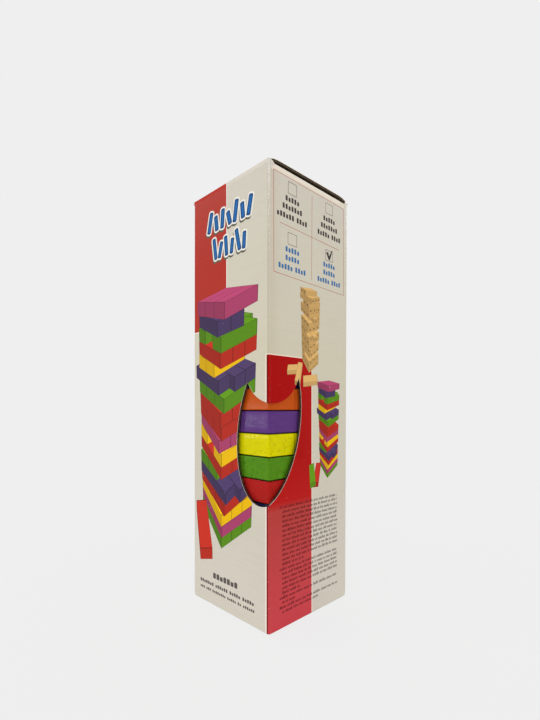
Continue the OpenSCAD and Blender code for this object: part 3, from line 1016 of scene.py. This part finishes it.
def plainPaperMaterial(name, colour, strength, roughness, gapShadePower):
    # unprinted liner and medium: brown fibres, matt, and painted shade in narrow gaps
    material, tree, shader = newMaterial(name)
    sheet = put(tree, "UVMap", uv_map="sheet").outputs[0]
    grain = useGroup(tree, paperGrain, {"Sheet": sheet, "Ink": rgba(colour), "Strength": strength})
    # painted shade from ambient occlusion, darker in narrow gaps
    unshaded = put(tree, "AmbientOcclusion", {"Distance": paperLook["gap"] * mm},
                   samples=paperLook["gapSamples"]).outputs["AO"]
    unshaded = maths(tree, "POWER", unshaded, gapShadePower)
    tree.links.new(scaled(tree, grain["Color"], unshaded), shader.inputs["Base Color"])
    swing = plainLook["roughSwing"]
    tree.links.new(remap(tree, grain["Tone"], *paperLook["tones"], roughness - swing, roughness + swing),
                   shader.inputs["Roughness"])
    bump = put(tree, "Bump", {"Strength": plainLook["relief"], "Distance": paperLook["washboard"] * mm,
                              "Height": grain["Height"]})
    tree.links.new(bump.outputs[0], shader.inputs["Normal"])
    shader.inputs["Specular IOR Level"].default_value = plainLook["specular"]
    return material


boardMaterials = [printedPaperMaterial()]
boardMaterials += [plainPaperMaterial(name, **settings) for name, settings in plainPapers.items()]
print("materials for the board are made")


# The folded carton

base = {
    "plyGap": 0.1, "gap": 0.4,
    "frontShoulder": 1.0, "tongueHalf": 19.0, "tongueReach": 17.0, "tongueGap": 0.8, "backShoulder": 9.0,
    "sideWidth": 18.0,
}
innerHalf = carton["half"] - board["thickness"]
plyStep = board["thickness"] + base["plyGap"]


def onFrontBase(across, reach, depth):
    # The front bottom flap lies outermost, and its tongue climbs at 45 degrees to the level of the inner ply
    rise = 2 * plyStep
    past = reach - (innerHalf + base["frontShoulder"])
    climb = np.clip(past / math.sqrt(2), 0, rise)
    y = np.minimum(reach, innerHalf + base["frontShoulder"]) - innerHalf + climb + np.maximum(
        past - rise * math.sqrt(2), 0)
    return np.column_stack([across, y, climb + depth])


def onSideBase(across, reach, depth):
    return np.column_stack([innerHalf - reach, across, plyStep + depth])


def onOtherSideBase(across, reach, depth):
    return onSideBase(across, reach, depth) * np.array([-1, 1, 1])


def onBackBase(across, reach, depth):
    return np.column_stack([across, innerHalf - reach, 2 * plyStep + depth])


def onGlueFlap(across, height, depth):
    # the glue flap is crushed thinner, and lies against the left wall's inner face by the back corner
    return np.column_stack([depth * glueFlap["thickness"] / board["thickness"] - innerHalf,
                            innerHalf - across, height])


glueFlap = {"width": 16.0, "thickness": 1.1, "inset": 8.0}


def foldStations():
    # upright lines that divide the sheet where it turns its four corners
    radius, steps = carton["baseCornerRadius"], carton["foldSteps"]
    return [corner * carton["wall"] + radius * k / steps
            for corner in range(-2, 3) for k in range(-steps, steps + 1)]


def wallOutline(frontTop, sideTop, backTop, cornerTop, low):
    # The four walls unrolled. Slits run down to the side walls' creases where their flaps leave the front
    # corners, and at the back corners the cut edge steps down to the back wall's
    wall, near = carton["wall"], carton["cornerRadius"]
    floor, far, shoulder = creases["side"], near + carton["cornerSlit"], carton["backShoulder"]
    foot = carton["shoulderFoot"] * shoulder
    right = [(2 * wall, cornerTop), (2 * wall - foot, cornerTop), (2 * wall - shoulder, backTop),
             (wall + shoulder, backTop), (wall + foot, cornerTop), (wall - far, cornerTop),
             (wall - far, sideTop), (far, sideTop), (far, floor), (near, floor), (near, frontTop)]
    left = [(-wall - near, frontTop), (-wall - near, floor), (-wall - far, floor), (-wall - far, sideTop),
            (far - 2 * wall, sideTop), (far - 2 * wall, cornerTop), (-2 * wall, cornerTop)]
    return np.array([(-2 * wall, low), (2 * wall, low)] + right + left)


cornerScrap = {
    "out": 0.12, "thickness": 0.1, "crumple": 0.14, "pitch": 1.7,
    "outline": [(1.2, 294.2), (4.7, 294.7), (4.4, 296.3), (3.6, 296.8), (2.6, 297.3), (1.2, 297.6)],
}


def onScrap(along, height, depth):
    # the torn end of the right wall's liner stands up over the lid's edge, crumpled by a wave along both ways
    wave = np.sin((along + height) / cornerScrap["pitch"] * math.pi)
    out = cornerScrap["out"] + cornerScrap["crumple"] * wave
    return np.column_stack([carton["half"] + out - depth, along - carton["half"], height])


def scrapShell():
    outline = np.array(cornerScrap["outline"])
    low, high = outline.min(axis=0), outline.max(axis=0)
    lines = [((low[0], level), (high[0], level)) for level in np.linspace(low[1], high[1], 12)]
    return linerShell(outline, [], [(rectangle(*low, *high), inks["foldScrap"])], lines, onScrap,
                      0.0, cornerScrap["thickness"], 0)


def makeWalls():
    bead, wall, radius = board["bead"], carton["wall"], carton["baseRadius"]
    wrap = bead * math.pi
    corner = creases["side"] + carton["cornerRise"]
    outline = wallOutline(creases["front"] + wrap, creases["side"] + wrap, creases["back"], corner, -radius)
    innerOutline = wallOutline(creases["front"], creases["side"], creases["back"], corner - board["liner"],
                               board["liner"])
    lines = [((u, -radius), (u, creases["front"] + wrap)) for u in foldStations() if abs(u) < 2 * wall]
    levels = list(radius * carton["baseShares"]) + list(carton["crushLevels"])
    levels += [creases[name] + share * wrap for name in ("front", "side") for share in creaseShares]
    lines += [((-2 * wall, level), (2 * wall, level)) for level in levels]
    valley = [carton["creaseAt"] + carton["creaseWidth"] * step for step in carton["valleySteps"]]
    places = [fold * wall + sign * away for fold in range(-2, 3) for sign in (-1, 1) for away in valley]
    lines += [((u, -radius), (u, creases["front"] + wrap)) for u in places if abs(u) < 2 * wall]
    hole, room = windowLoop(), window["fluteRoom"]
    prints = (frontPrint(-wall) + sidePrint(0) + frontPrint(wall) + sidePrint(-2 * wall)
              + [(windowLoop(window["tornEdge"], window["tornRipple"]), inks["torn"])])
    shells = boardShells(outline, overTheFolds, prints, [hole], lines, innerOutline,
                         (hole[:, 1].min() - room, hole[:, 1].max() + room), onWalls)
    walls = makePiece("carton_walls", shells + [scrapShell()], boardMaterials)
    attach(walls, "carton")
    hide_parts("carton_body")


def makeCartonFlap(name, outline, place):
    flap = makePiece(name, boardShells(np.array(outline), place), boardMaterials, sheetShift=carton["half"])
    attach(flap, "carton")


def makeBase():
    side = innerHalf - base["gap"]
    thick = board["thickness"]
    shoulder = innerHalf + base["frontShoulder"]
    neck = base["tongueHalf"] - thick
    tongueEnd = (shoulder + 2 * plyStep * (math.sqrt(2) - 1) + base["tongueReach"] - base["frontShoulder"])
    slope = shoulder - side / 2
    half = [(side, 0), (side - thick, slope), (base["tongueHalf"], shoulder), (neck, shoulder),
            (neck, tongueEnd)]
    makeCartonFlap("front_bottom_flap", half + [(-x, reach) for x, reach in half[::-1]], onFrontBase)
    wide = base["sideWidth"]
    trapezium = [(-side, 0), (side, 0), (innerHalf - wide / 2, wide), (wide / 2 - innerHalf, wide)]
    makeCartonFlap("right_bottom_flap", trapezium, onSideBase)
    makeCartonFlap("left_bottom_flap", trapezium, onOtherSideBase)
    slot = base["tongueHalf"] + base["tongueGap"] - thick
    reach = innerHalf + base["backShoulder"]
    slotEnd = innerHalf - base["tongueReach"] - base["tongueGap"]
    half = [(side, 0), (side, reach), (slot + thick, reach), (slot, reach - thick), (slot, slotEnd)]
    makeCartonFlap("back_bottom_flap", half + [(-x, along) for x, along in half[::-1]], onBackBase)
    low = 2 * plyStep + thick + glueFlap["inset"]
    high = creases["side"] + board["bead"] - thick - glueFlap["inset"]
    drop = glueFlap["width"] / 4
    makeCartonFlap("glue_flap", [(0, low), (glueFlap["width"], low + drop), (glueFlap["width"], high - drop),
                                 (0, high)], onGlueFlap)


def stripePrint(low, high):
    # the front's red stripe, carried on over the lid and the tuck flap
    left, right, _ = frontDesign["stripe"]
    left, right = left - carton["half"] - 1, right - carton["half"]
    return [(rectangle(left, low, right + frontDesign["border"], high), inks["edge"]),
            (rectangle(left, low, right, high), inks["frontRed"])]


def makeLid():
    half, end = lid["half"], lid["depth"]
    wrap = board["bead"] * math.radians(lid["wrap"])
    short, notch = board["bead"] * math.radians(lid["shortWrap"]), tuckHigh[0] + lid["notchGap"]
    outline = np.array([(-half, lid["outerStart"]), (half, lid["outerStart"]), (half, end + wrap),
                        (notch, end + wrap), (notch, end + short), (-notch, end + short),
                        (-notch, end + wrap), (-half, end + wrap)])
    innerOutline = rectangle(-half, lid["innerStart"], half, end)
    levels = [end + share * wrap for share in creaseShares] + list(lid["frontLevels"])
    levels += [end - away for away in lid["tuckLevels"]]
    lines = [((-half, level), (half, level)) for level in levels]
    shells = boardShells(outline, onLid, stripePrint(-1, end + printOver), (), lines, innerOutline)
    piece = makePiece("lid_panel", shells, boardMaterials, sheetShift=carton["half"])
    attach(piece, "lid")
    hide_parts("top_lid")


tuckPoints = pointsOf("tuck_flap")[:, 1:] - hinges["tuck_hinge"][1:]
tuckReach = np.linalg.norm(tuckPoints, axis=1)
tuckTip = np.unique(np.round(tuckPoints[tuckReach > tuckReach.max() - 0.01], 2), axis=0).mean(axis=0)
tuck = {
    "length": np.linalg.norm(tuckTip),
    "lean": math.atan2(-tuckTip[0], -tuckTip[1]),
    "cornerRadius": 7.0, "outerStart": 0.9, "innerStart": 1.26,
}


def makeTuck():
    half, length, radius = tuckHigh[0], tuck["length"], tuck["cornerRadius"]

    def outline(start):
        return np.vstack([[(-half, start), (half, start)],
                          roundCorner((half - radius, length - radius), radius, 0, 90, 9),
                          roundCorner((radius - half, length - radius), radius, 90, 180, 9)])

    shells = boardShells(outline(tuck["outerStart"]), onTuck, stripePrint(0, length + 1), (), (),
                         outline(tuck["innerStart"]))
    piece = makePiece("tuck_panel", shells, boardMaterials, sheetShift=carton["half"])
    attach(piece, "tuck")
    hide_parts("tuck_flap")


dust = {"frontSlope": 0.5, "backSlope": 0.16, "cornerRadius": 5.0, "outerStart": 1.25}


def makeDustFlaps():
    crease = hinges["dust_flap_right_hinge"][0]
    start, tip = crease - dustHigh[0], crease - dustLow[0]
    front, back, radius = dustLow[1], dustHigh[1], dust["cornerRadius"]
    reach = tip - start
    frontTip, backTip = front + dust["frontSlope"] * reach, back - dust["backSlope"] * reach
    lean = math.degrees(math.atan(dust["frontSlope"]))
    outline = np.vstack([[(front, start), (back, start)],
                         roundCorner((backTip - radius, tip - radius), radius, 0, 90, 7),
                         roundCorner((frontTip + radius, tip - radius), radius, 90, 180 - lean, 6)])
    for name, node, body, place in (("dust_panel_right", "dust_flap_right", "dust_right", onDustRight),
                                    ("dust_panel_left", "dust_flap_left", "dust_left", onDustLeft)):
        piece = makePiece(name, boardShells(outline, place), boardMaterials, sheetShift=carton["half"])
        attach(piece, body)
        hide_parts(node)


creaseSkin = {
    "proud": 0.03, "thickness": 0.1,
    "onWall": 1.8, "onFlap": 2.3,
    "levels": (0.6, 1.25),             # lines past the turn
    "blendFrom": 0.8, "blendTo": 1.3,
    "print": (-4, 6),                  # the print runs past both of its ends
}


def makeCreaseSkin(name, hinge, outward, upward, turn, ends, prints=(), bulge=0.0):
    # The liner's paper that bends over a crease. Its section runs up the first board, turns about the crease
    # on a squared circle of half the board's thickness, and runs on along the flap
    bead = board["bead"]
    arc = bead * turn
    axis = np.cross(upward, outward)
    first, second = ends

    def section(angle):
        return (outward * np.cos(angle)[:, None] + upward * np.sin(angle)[:, None],
                -outward * np.sin(angle)[:, None] + upward * np.cos(angle)[:, None])

    def place(across, reach, depth):
        angle = np.clip(reach, 0, arc) / bead
        normal, along = section(angle)
        straight = np.where(reach < 0, reach, np.maximum(reach - arc, 0))
        height = (bead + creaseSkin["proud"] - depth) * squared(angle)
        height += bulge * bulging(angle * math.pi / turn)
        return hinge + axis * across[:, None] + normal * height[:, None] + along * straight[:, None]

    low, high = -creaseSkin["onWall"], arc + creaseSkin["onFlap"]
    levels = [arc * share for share in creaseShares] + [arc + past for past in creaseSkin["levels"]]
    shell = linerShell(rectangle(first, low, second, high), [], list(prints),
                       [((first, level), (second, level)) for level in levels], place,
                       0.0, creaseSkin["thickness"], 0)
    piece = makePiece(name, [shell], boardMaterials, 60, carton["half"])
    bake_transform(piece)


def makeCreaseSkins():
    up, right, front = np.array([0.0, 0, 1]), np.array([1.0, 0, 0]), np.array([0.0, -1, 0])
    spring, half = lid["spring"], lid["half"]
    stripe = stripePrint(*creaseSkin["print"])
    lidUp = np.array([0, -math.sin(spring), math.cos(spring)])
    lidAlong = np.array([0, math.cos(spring), math.sin(spring)])
    makeCreaseSkin("lid_crease", hinges["lid_hinge"], front, up, math.pi / 2 - spring,
                   (-half, half), stripe)
    makeCreaseSkin("tuck_crease", hinges["tuck_hinge"], lidUp, lidAlong, math.pi / 2 + spring + tuck["lean"],
                   (-tuckHigh[0], tuckHigh[0]), stripe, lid["bulge"])
    ends = (dustLow[1], dustHigh[1])
    low, high = creaseSkin["print"]
    # the dust flaps' creases carry the same painted highlight
    edge = [(rectangle(-carton["half"], low, carton["half"], high), inks["topEdge"])]
    makeCreaseSkin("dust_crease_right", hinges["dust_flap_right_hinge"], right, up, math.pi / 2,
                   ends, edge)
    makeCreaseSkin("dust_crease_left", hinges["dust_flap_left_hinge"], -right, up, math.pi / 2,
                   (-ends[1], -ends[0]), edge)


makeWalls()
print("carton walls are printed, cut and folded")
makeBase()
makeLid()
makeTuck()
makeDustFlaps()
makeCreaseSkins()
print("lid, flaps, base and creases are made")


# The shrink film round the tower

film = {
    "thickness": 0.07,
    "radius": 1.2,
    "sag": 0.28, "sagWidth": 0.5,      # how far it sinks into the joints between layers
    "layer": blockHigh[2] - blockLow[2],
    "first": blockLow[2],
    "vent": 1.5,
    "ridge": 0.45,
    # each crease's place beside a corner, its wander, and that wander's pitch and phase, and its width
    "creases": ((0.9, 0.7, 23, 0.4, 0.30), (-1.2, 0.8, 31, 2.1, 0.34), (2.6, 1.0, 41, 1.2, 0.45)),
    "gather": 0.05, "gatherPitch": 3.1, "gatherLean": 0.8, "gatherReach": 4,
    "topFold": 0.5, "topFoldWidth": 0.8, "topRipple": 0.12,
    "rowsByJoint": (-4, -1.2, -0.7, -0.4, -0.2, 0, 0.2, 0.4, 0.7, 1.2, 4),
    "cornerReach": 5, "endReach": 3,   # how far the corners' columns go, and the rows where the sides begin
    "columnsByCorner": 26, "columnsOnSide": 22,
    "baseRows": 8, "foldRows": 6, "topRows": 25,
    "creaseBreak": 0.77, "breakPhase": 3,          # where a crease fades out, in its pitch and phase
    "topEdge": 0.05, "topFade": 6,     # the top's folds begin this far under it, and fade towards its rim
    "rippleTurns": (1.7, 0.5),         # in radians to the mm, round the top and across it
}
filmLook = {
    "stretch": (1.0, 1.0, 0.45), "crumpleScale": 110.0, "crumple": 0.5, "relief": 0.4,     # relief in mm
    "roughScale": 60.0, "rough": (0.03, 0.1), "index": 1.4, "clear": 0.985,
    "slant": 0.28, "share": (0.03, 0.6),
}
film["half"] = filmHigh[0] - film["thickness"]


def filmColumns():
    # dense by the corners, where the film is creased, and sparse on the flat sides
    wall, reach = 2 * film["half"], film["cornerReach"]
    near = np.linspace(-1, 1, film["columnsByCorner"])
    near = reach * np.sign(near) * np.abs(near) ** 1.5
    stations = [near + corner * wall for corner in (-2, -1, 0, 1, 2)]
    stations += [np.linspace(corner * wall + reach, (corner + 1) * wall - reach, film["columnsOnSide"])
                 for corner in (-2, -1, 0, 1)]
    columns = np.unique(np.round(np.concatenate(stations), 4))
    return columns[(columns >= -2 * wall) & (columns <= 2 * wall)]


def makeFilm():
    # A closed bag as a grid of columns round the tower and rows from the middle of its base to the vent in
    # its top. A row has an inset and a height. On the sides the film sinks a little at each joint between
    # layers by a bell curve of the distance to the joint, and stands out in wandering creases beside the
    # corners
    half, radius = film["half"], film["radius"]
    low, high = filmLow[2] + film["thickness"] / 2, filmHigh[2] - film["thickness"] / 2
    quarter = np.radians(np.linspace(0, 90, film["foldRows"]))
    joints = film["first"] + film["layer"] * np.arange(1, round((high - low) / film["layer"]))
    around, end = np.array(film["rowsByJoint"]), film["endReach"]
    sides = np.unique(np.concatenate([(joints[:, None] + around).ravel(), [low + end, high - end]]))
    baseRows, topRows = film["baseRows"], film["topRows"]
    inset = np.concatenate([np.linspace(half, radius, baseRows + 1)[:-1], radius - radius * np.sin(quarter),
                            np.zeros(len(sides)), radius - radius * np.cos(quarter),
                            np.linspace(radius, half - film["vent"], topRows + 1)[1:]])
    height = np.concatenate([np.full(baseRows, low), low + radius - radius * np.cos(quarter), sides,
                             high - radius + radius * np.sin(quarter), np.full(topRows, high)])
    columns = filmColumns()
    along, inset = np.meshgrid(columns, inset)
    level = np.repeat(height[:, None], len(columns), axis=1)
    wall = 2 * half
    fromCorner = (along + wall / 2) % wall - wall / 2
    onSide = np.clip((level - low) / end, 0, 1) * np.clip((high - level) / end, 0, 1)
    fromJoint = np.abs((level - film["first"] + film["layer"] / 2) % film["layer"] - film["layer"] / 2)
    sag = film["sag"] * np.exp(-(fromJoint / film["sagWidth"]) ** 2)
    creased = 0
    for shift, wander, pitch, phase, width in film["creases"]:
        line = shift + wander * np.sin(level / pitch * 2 * math.pi + phase)
        fading = level / (pitch * film["creaseBreak"]) + film["breakPhase"] * phase
        strength = np.clip(np.sin(fading), 0, 1)
        creased = creased + film["ridge"] * strength * np.exp(-((fromCorner - line) / width) ** 2)
    away = np.abs(fromCorner)
    gather = film["gather"] * np.exp(-away / film["gatherReach"]) * (
        1 + np.sin(level / film["gatherPitch"] + away * film["gatherLean"]))
    inset = inset + onSide * (sag - creased - gather)
    onTop = np.clip((level - high) / film["topEdge"] + 1, 0, 1) * np.clip(inset / film["topFade"], 0, 1)
    toCorner = np.minimum(fromCorner % wall, wall - fromCorner % wall)
    folds = film["topFold"] * np.exp(-((toCorner - inset) / film["topFoldWidth"]) ** 2)
    roundTop, acrossTop = film["rippleTurns"]
    ripple = film["topRipple"] * (1 + np.sin(along * roundTop) * np.sin(inset * acrossTop))
    level = level + onTop * (folds + ripple)
    points = roundTheWalls(along.ravel(), inset.ravel(), level.ravel(), radius, half)
    mesh = bpy.data.meshes.new("wrapping_film")
    mesh.from_pydata((points * mm).tolist(), [], gridFaces(*along.shape).tolist())
    piece = bpy.data.objects.new("wrapping_film", mesh)
    bpy.context.scene.collection.objects.link(piece)
    return piece


def closePoles(piece):
    # merges the points that meet in the middle of the base and along the seam, and turns the faces outwards
    built = bmesh.new()
    built.from_mesh(piece.data)
    bmesh.ops.remove_doubles(built, verts=built.verts, dist=1e-6)
    bmesh.ops.recalc_face_normals(built, faces=built.faces)
    built.to_mesh(piece.data)
    built.free()
    piece.data.polygons.foreach_set("use_smooth", np.ones(len(piece.data.polygons), bool))


def clearFilmMaterial():
    # Clear film: mostly see-through, and glossier at a slant
    material, tree, shader = newMaterial("clearFilm")
    point = put(tree, "TexCoord").outputs["Object"]
    crumple = noise(tree, times(tree, point, filmLook["stretch"]), filmLook["crumpleScale"], 3.0, 0.55)
    bump = put(tree, "Bump", {"Strength": filmLook["crumple"], "Distance": filmLook["relief"] * mm,
                              "Height": crumple}).outputs[0]
    shader.inputs["Base Color"].default_value = (1, 1, 1, 1)
    shader.inputs["Transmission Weight"].default_value = 1.0
    shader.inputs["IOR"].default_value = filmLook["index"]
    rough = remap(tree, noise(tree, point, filmLook["roughScale"], 2.0), 0.3, 0.7, *filmLook["rough"])
    tree.links.new(rough, shader.inputs["Roughness"])
    tree.links.new(bump, shader.inputs["Normal"])
    clear = put(tree, "BsdfTransparent", {"Color": (*[filmLook["clear"]] * 3, 1)}).outputs[0]
    slant = put(tree, "LayerWeight", {"Blend": filmLook["slant"], "Normal": bump}).outputs["Fresnel"]
    share = remap(tree, slant, 0.0, 1.0, *filmLook["share"])
    outside = maths(tree, "SUBTRACT", 1.0, put(tree, "NewGeometry").outputs["Backfacing"])
    share = maths(tree, "MULTIPLY", share, outside)      # the film's inner skin adds no second reflection
    both = put(tree, "MixShader", {0: share, 1: clear, 2: shader.outputs[0]}).outputs[0]
    tree.links.new(both, tree.nodes["Material Output"].inputs["Surface"])
    return material


filmPiece = makeFilm()
closePoles(filmPiece)
filmPiece.data.materials.append(clearFilmMaterial())
skin = filmPiece.modifiers.new("thickness", "SOLIDIFY")
skin.thickness = film["thickness"] * mm
skin.offset = 0
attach(filmPiece, "tower")
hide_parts("shrink_film")
print("film is wrapped round the tower")


# The painted blocks keep their CAD shapes

paints = {
    "green": {"colour": (86, 142, 26), "speckle": 0.5, "alongX": False},
    "yellow": {"colour": (224, 216, 0), "speckle": 0.34, "alongX": True},
    "purple": {"colour": (98, 60, 130), "speckle": 0.10, "alongX": False},
    "orange": {"colour": (206, 88, 24), "speckle": 0.12, "alongX": True},
    "blue": {"colour": (26, 30, 84), "speckle": 0.10, "alongX": False},
    "red": {"colour": (178, 32, 28), "speckle": 0.14, "alongX": True},
}
wood = {"grainScale": 900.0, "alongGrain": 0.07, "poreScale": 1000.0, "grain": 0.10, "tone": 0.10,
        "relief": 0.05, "pores": (0.54, 0.66), "poreDepth": 0.8, "rough": (0.52, 0.38), "specular": 0.03,
        "strength": 0.7, "dark": 0.1, "jointShadeTo": 0.3, "jointShadeClearFrom": 0.65}    # dark is the painted shade at a joint; the last two in mm from a joint
blockPlace = cornersOf("layer_01_green_block_middle")[0] - blockLow      # from one block to the one beside it
blockRise = blockHigh[2] - blockLow[2]


def paintedWoodGroup():
    # Thin paint on wood: long soft grain, dark pores where the paint has sunk in, a tone for each block, and
    # painted shade along the edges where two layers meet
    tree, given, out = newGroup(
        "paintedWood",
        {"Point": ("Vector", None), "Stretch": ("Vector", (1, 1, 1)), "Cell": ("Vector", (1, 1, 1)),
         "Paint": ("Color", None), "Speckle": ("Float", 0.1)},
        {"Color": ("Color", None), "Roughness": ("Float", None), "Height": ("Float", None)})
    stretched = times(tree, given["Point"], given["Stretch"])
    grain = maths(tree, "SUBTRACT", noise(tree, stretched, wood["grainScale"], 4.0, 0.6), 0.5)
    pores = remap(tree, noise(tree, given["Point"], wood["poreScale"], 2.0, 0.6), *wood["pores"])
    cell = times(tree, given["Point"], given["Cell"])
    cell = put(tree, "VectorMath", {0: cell, 1: (0.5, 0.5, 0.0)}, operation="ADD").outputs[0]
    cell = put(tree, "VectorMath", {0: cell}, operation="FLOOR").outputs[0]
    own = maths(tree, "SUBTRACT", put(tree, "TexWhiteNoise", {"Vector": cell}).outputs["Value"], 0.5)
    tone = maths(tree, "ADD", maths(tree, "MULTIPLY", grain, 2 * wood["grain"]),
                 maths(tree, "MULTIPLY", own, wood["tone"]))
    tone = maths(tree, "ADD", 1.0, tone)
    tone = maths(tree, "SUBTRACT", tone, maths(tree, "MULTIPLY", pores, given["Speckle"]))
    height = put(tree, "SeparateXYZ", {0: given["Point"]}).outputs["Z"]
    # painted shade towards each joint between layers
    fromJoint = maths(tree, "PINGPONG", maths(tree, "SUBTRACT", height, blockLow[2] * mm), blockRise / 2 * mm)
    shade = remap(tree, fromJoint, wood["jointShadeTo"] * mm, wood["jointShadeClearFrom"] * mm, wood["dark"], 1.0)
    tree.links.new(scaled(tree, given["Paint"], maths(tree, "MULTIPLY", tone, shade)), out["Color"])
    tree.links.new(remap(tree, grain, *paperLook["tones"], *wood["rough"]), out["Roughness"])
    tree.links.new(maths(tree, "SUBTRACT", grain, maths(tree, "MULTIPLY", pores, wood["poreDepth"])),
                   out["Height"])
    return tree


paintedWood = paintedWoodGroup()


def paintMaterial(name, colour, speckle, alongX):
    material, tree, shader = newMaterial(name + "Paint")
    point = put(tree, "TexCoord").outputs["Object"]
    fine, across, up = wood["alongGrain"], 1 / (blockPlace[0] * mm), 1 / (blockRise * mm)
    look = useGroup(tree, paintedWood, {
        "Point": point, "Paint": rgba(colour), "Speckle": speckle,
        "Stretch": (fine, 1, 1) if alongX else (1, fine, 1),
        "Cell": (0, across, up) if alongX else (across, 0, up)})
    tree.links.new(look["Color"], shader.inputs["Base Color"])
    tree.links.new(look["Roughness"], shader.inputs["Roughness"])
    bump = put(tree, "Bump", {"Strength": wood["strength"], "Distance": wood["relief"] * mm,
                              "Height": look["Height"]})
    tree.links.new(bump.outputs[0], shader.inputs["Normal"])
    shader.inputs["Specular IOR Level"].default_value = wood["specular"]
    return material


for name, paint in paints.items():
    material = paintMaterial(name, **paint)
    for node, block in frame["nodes"].items():
        if f"_{name}_block_" in node:
            block.data.materials.clear()
            block.data.materials.append(material)
print("blocks are painted")


# Floor, light and camera

stage = {
    "background": (239, 239, 239), "floor": (253, 253, 253), "floorRadius": 2.5, "floorShare": 0.9,
    "floorFade": (0.12, 0.7),          # from the floor's own look to the plain background, in metres
    "floorCorners": 64, "floorDrop": 0.0002,
    "ambient": 0.81,
    "lampsAim": (0, 0, 0.15),
}
lamps = {
    "key": {"place": (-0.95, -1.45, 0.55), "size": (1.0, 1.0), "watts": 3.0, "colour": (1, 1, 1)},
    "fill": {"place": (1.45, 0.55, 0.4), "size": (1.0, 1.0), "watts": 2.6, "colour": (1, 0.96, 0.92)},
    "strip": {"place": (-0.815, -0.80, 0.107), "size": (0.10, 0.10), "watts": 0.6, "colour": (1, 1, 1)},
    "corner": {"place": (0.45, -0.86, 0.114), "size": (1.0, 0.10), "watts": 0.8, "colour": (1, 1, 1)},
}
camera = {"place": (0.22818, -0.22393, 0.14139), "yaw": 45.513, "lens": 21.03, "sensor": 36, "shift": 0.06746}


def seenDirectly(tree):
    # 1 for camera, mirror and see-through rays, so that they show the plain background
    path = put(tree, "LightPath").outputs
    seen = maths(tree, "MAXIMUM", path["Is Camera Ray"], path["Is Glossy Ray"])
    return maths(tree, "MAXIMUM", seen, path["Is Transmission Ray"])


def makeStage():
    world = bpy.data.worlds.new("studio")
    bpy.context.scene.world = world
    world.use_nodes = True
    tree = world.node_tree
    backdrop = put(tree, "Background", {"Color": rgba(stage["background"]), "Strength": 1.0}).outputs[0]
    ambient = put(tree, "Background", {"Color": (1, 1, 1, 1), "Strength": stage["ambient"]}).outputs[0]
    both = put(tree, "MixShader", {0: seenDirectly(tree), 1: ambient, 2: backdrop}).outputs[0]
    tree.links.new(both, tree.nodes["World Output"].inputs["Surface"])

    turn = np.linspace(0, 2 * math.pi, stage["floorCorners"] + 1)[:-1]
    rim = np.column_stack([np.cos(turn), np.sin(turn), np.zeros(len(turn))]) * stage["floorRadius"]
    mesh = bpy.data.meshes.new("floor")
    mesh.from_pydata((rim - np.array([0, 0, stage["floorDrop"]])).tolist(), [], [list(range(len(turn)))])
    floor = bpy.data.objects.new("floor", mesh)
    bpy.context.scene.collection.objects.link(floor)
    material, tree, shader = newMaterial("floorPaper")
    shader.inputs["Base Color"].default_value = rgba(stage["floor"])
    shader.inputs["Roughness"].default_value = 0.9
    shader.inputs["Specular IOR Level"].default_value = 0.0
    flat = put(tree, "Emission", {"Color": rgba(stage["background"]), "Strength": 1.0}).outputs[0]
    point = put(tree, "TexCoord").outputs["Object"]
    distance = put(tree, "VectorMath", {0: point}, operation="LENGTH").outputs["Value"]
    share = remap(tree, distance, *stage["floorFade"], stage["floorShare"], 1.0)
    share = maths(tree, "MULTIPLY", share, seenDirectly(tree))
    both = put(tree, "MixShader", {0: share, 1: shader.outputs[0], 2: flat}).outputs[0]
    tree.links.new(both, tree.nodes["Material Output"].inputs["Surface"])
    mesh.materials.append(material)


def makeLamp(name, place, size, watts, colour):
    lamp = bpy.data.lights.new(name, "AREA")
    lamp.shape, lamp.energy, lamp.color = "RECTANGLE", watts, colour
    lamp.size, lamp.size_y = size
    holder = bpy.data.objects.new(name, lamp)
    holder.location = place
    towards = Vector(stage["lampsAim"]) - Vector(place)
    holder.rotation_euler = towards.to_track_quat("-Z", "Y").to_euler()
    bpy.context.scene.collection.objects.link(holder)


def makeCamera():
    lens = bpy.data.cameras.new("photographView")
    lens.lens, lens.sensor_width, lens.shift_y = camera["lens"], camera["sensor"], camera["shift"]
    holder = bpy.data.objects.new("photographView", lens)
    holder.location = camera["place"]
    holder.rotation_euler = (math.radians(90), 0, math.radians(camera["yaw"]))
    bpy.context.scene.collection.objects.link(holder)
    bpy.context.scene.camera = holder


makeStage()
for name, settings in lamps.items():
    makeLamp(name, **settings)
makeCamera()
bpy.context.scene.view_settings.view_transform = "Standard"
print("stage, lamps and camera are set")
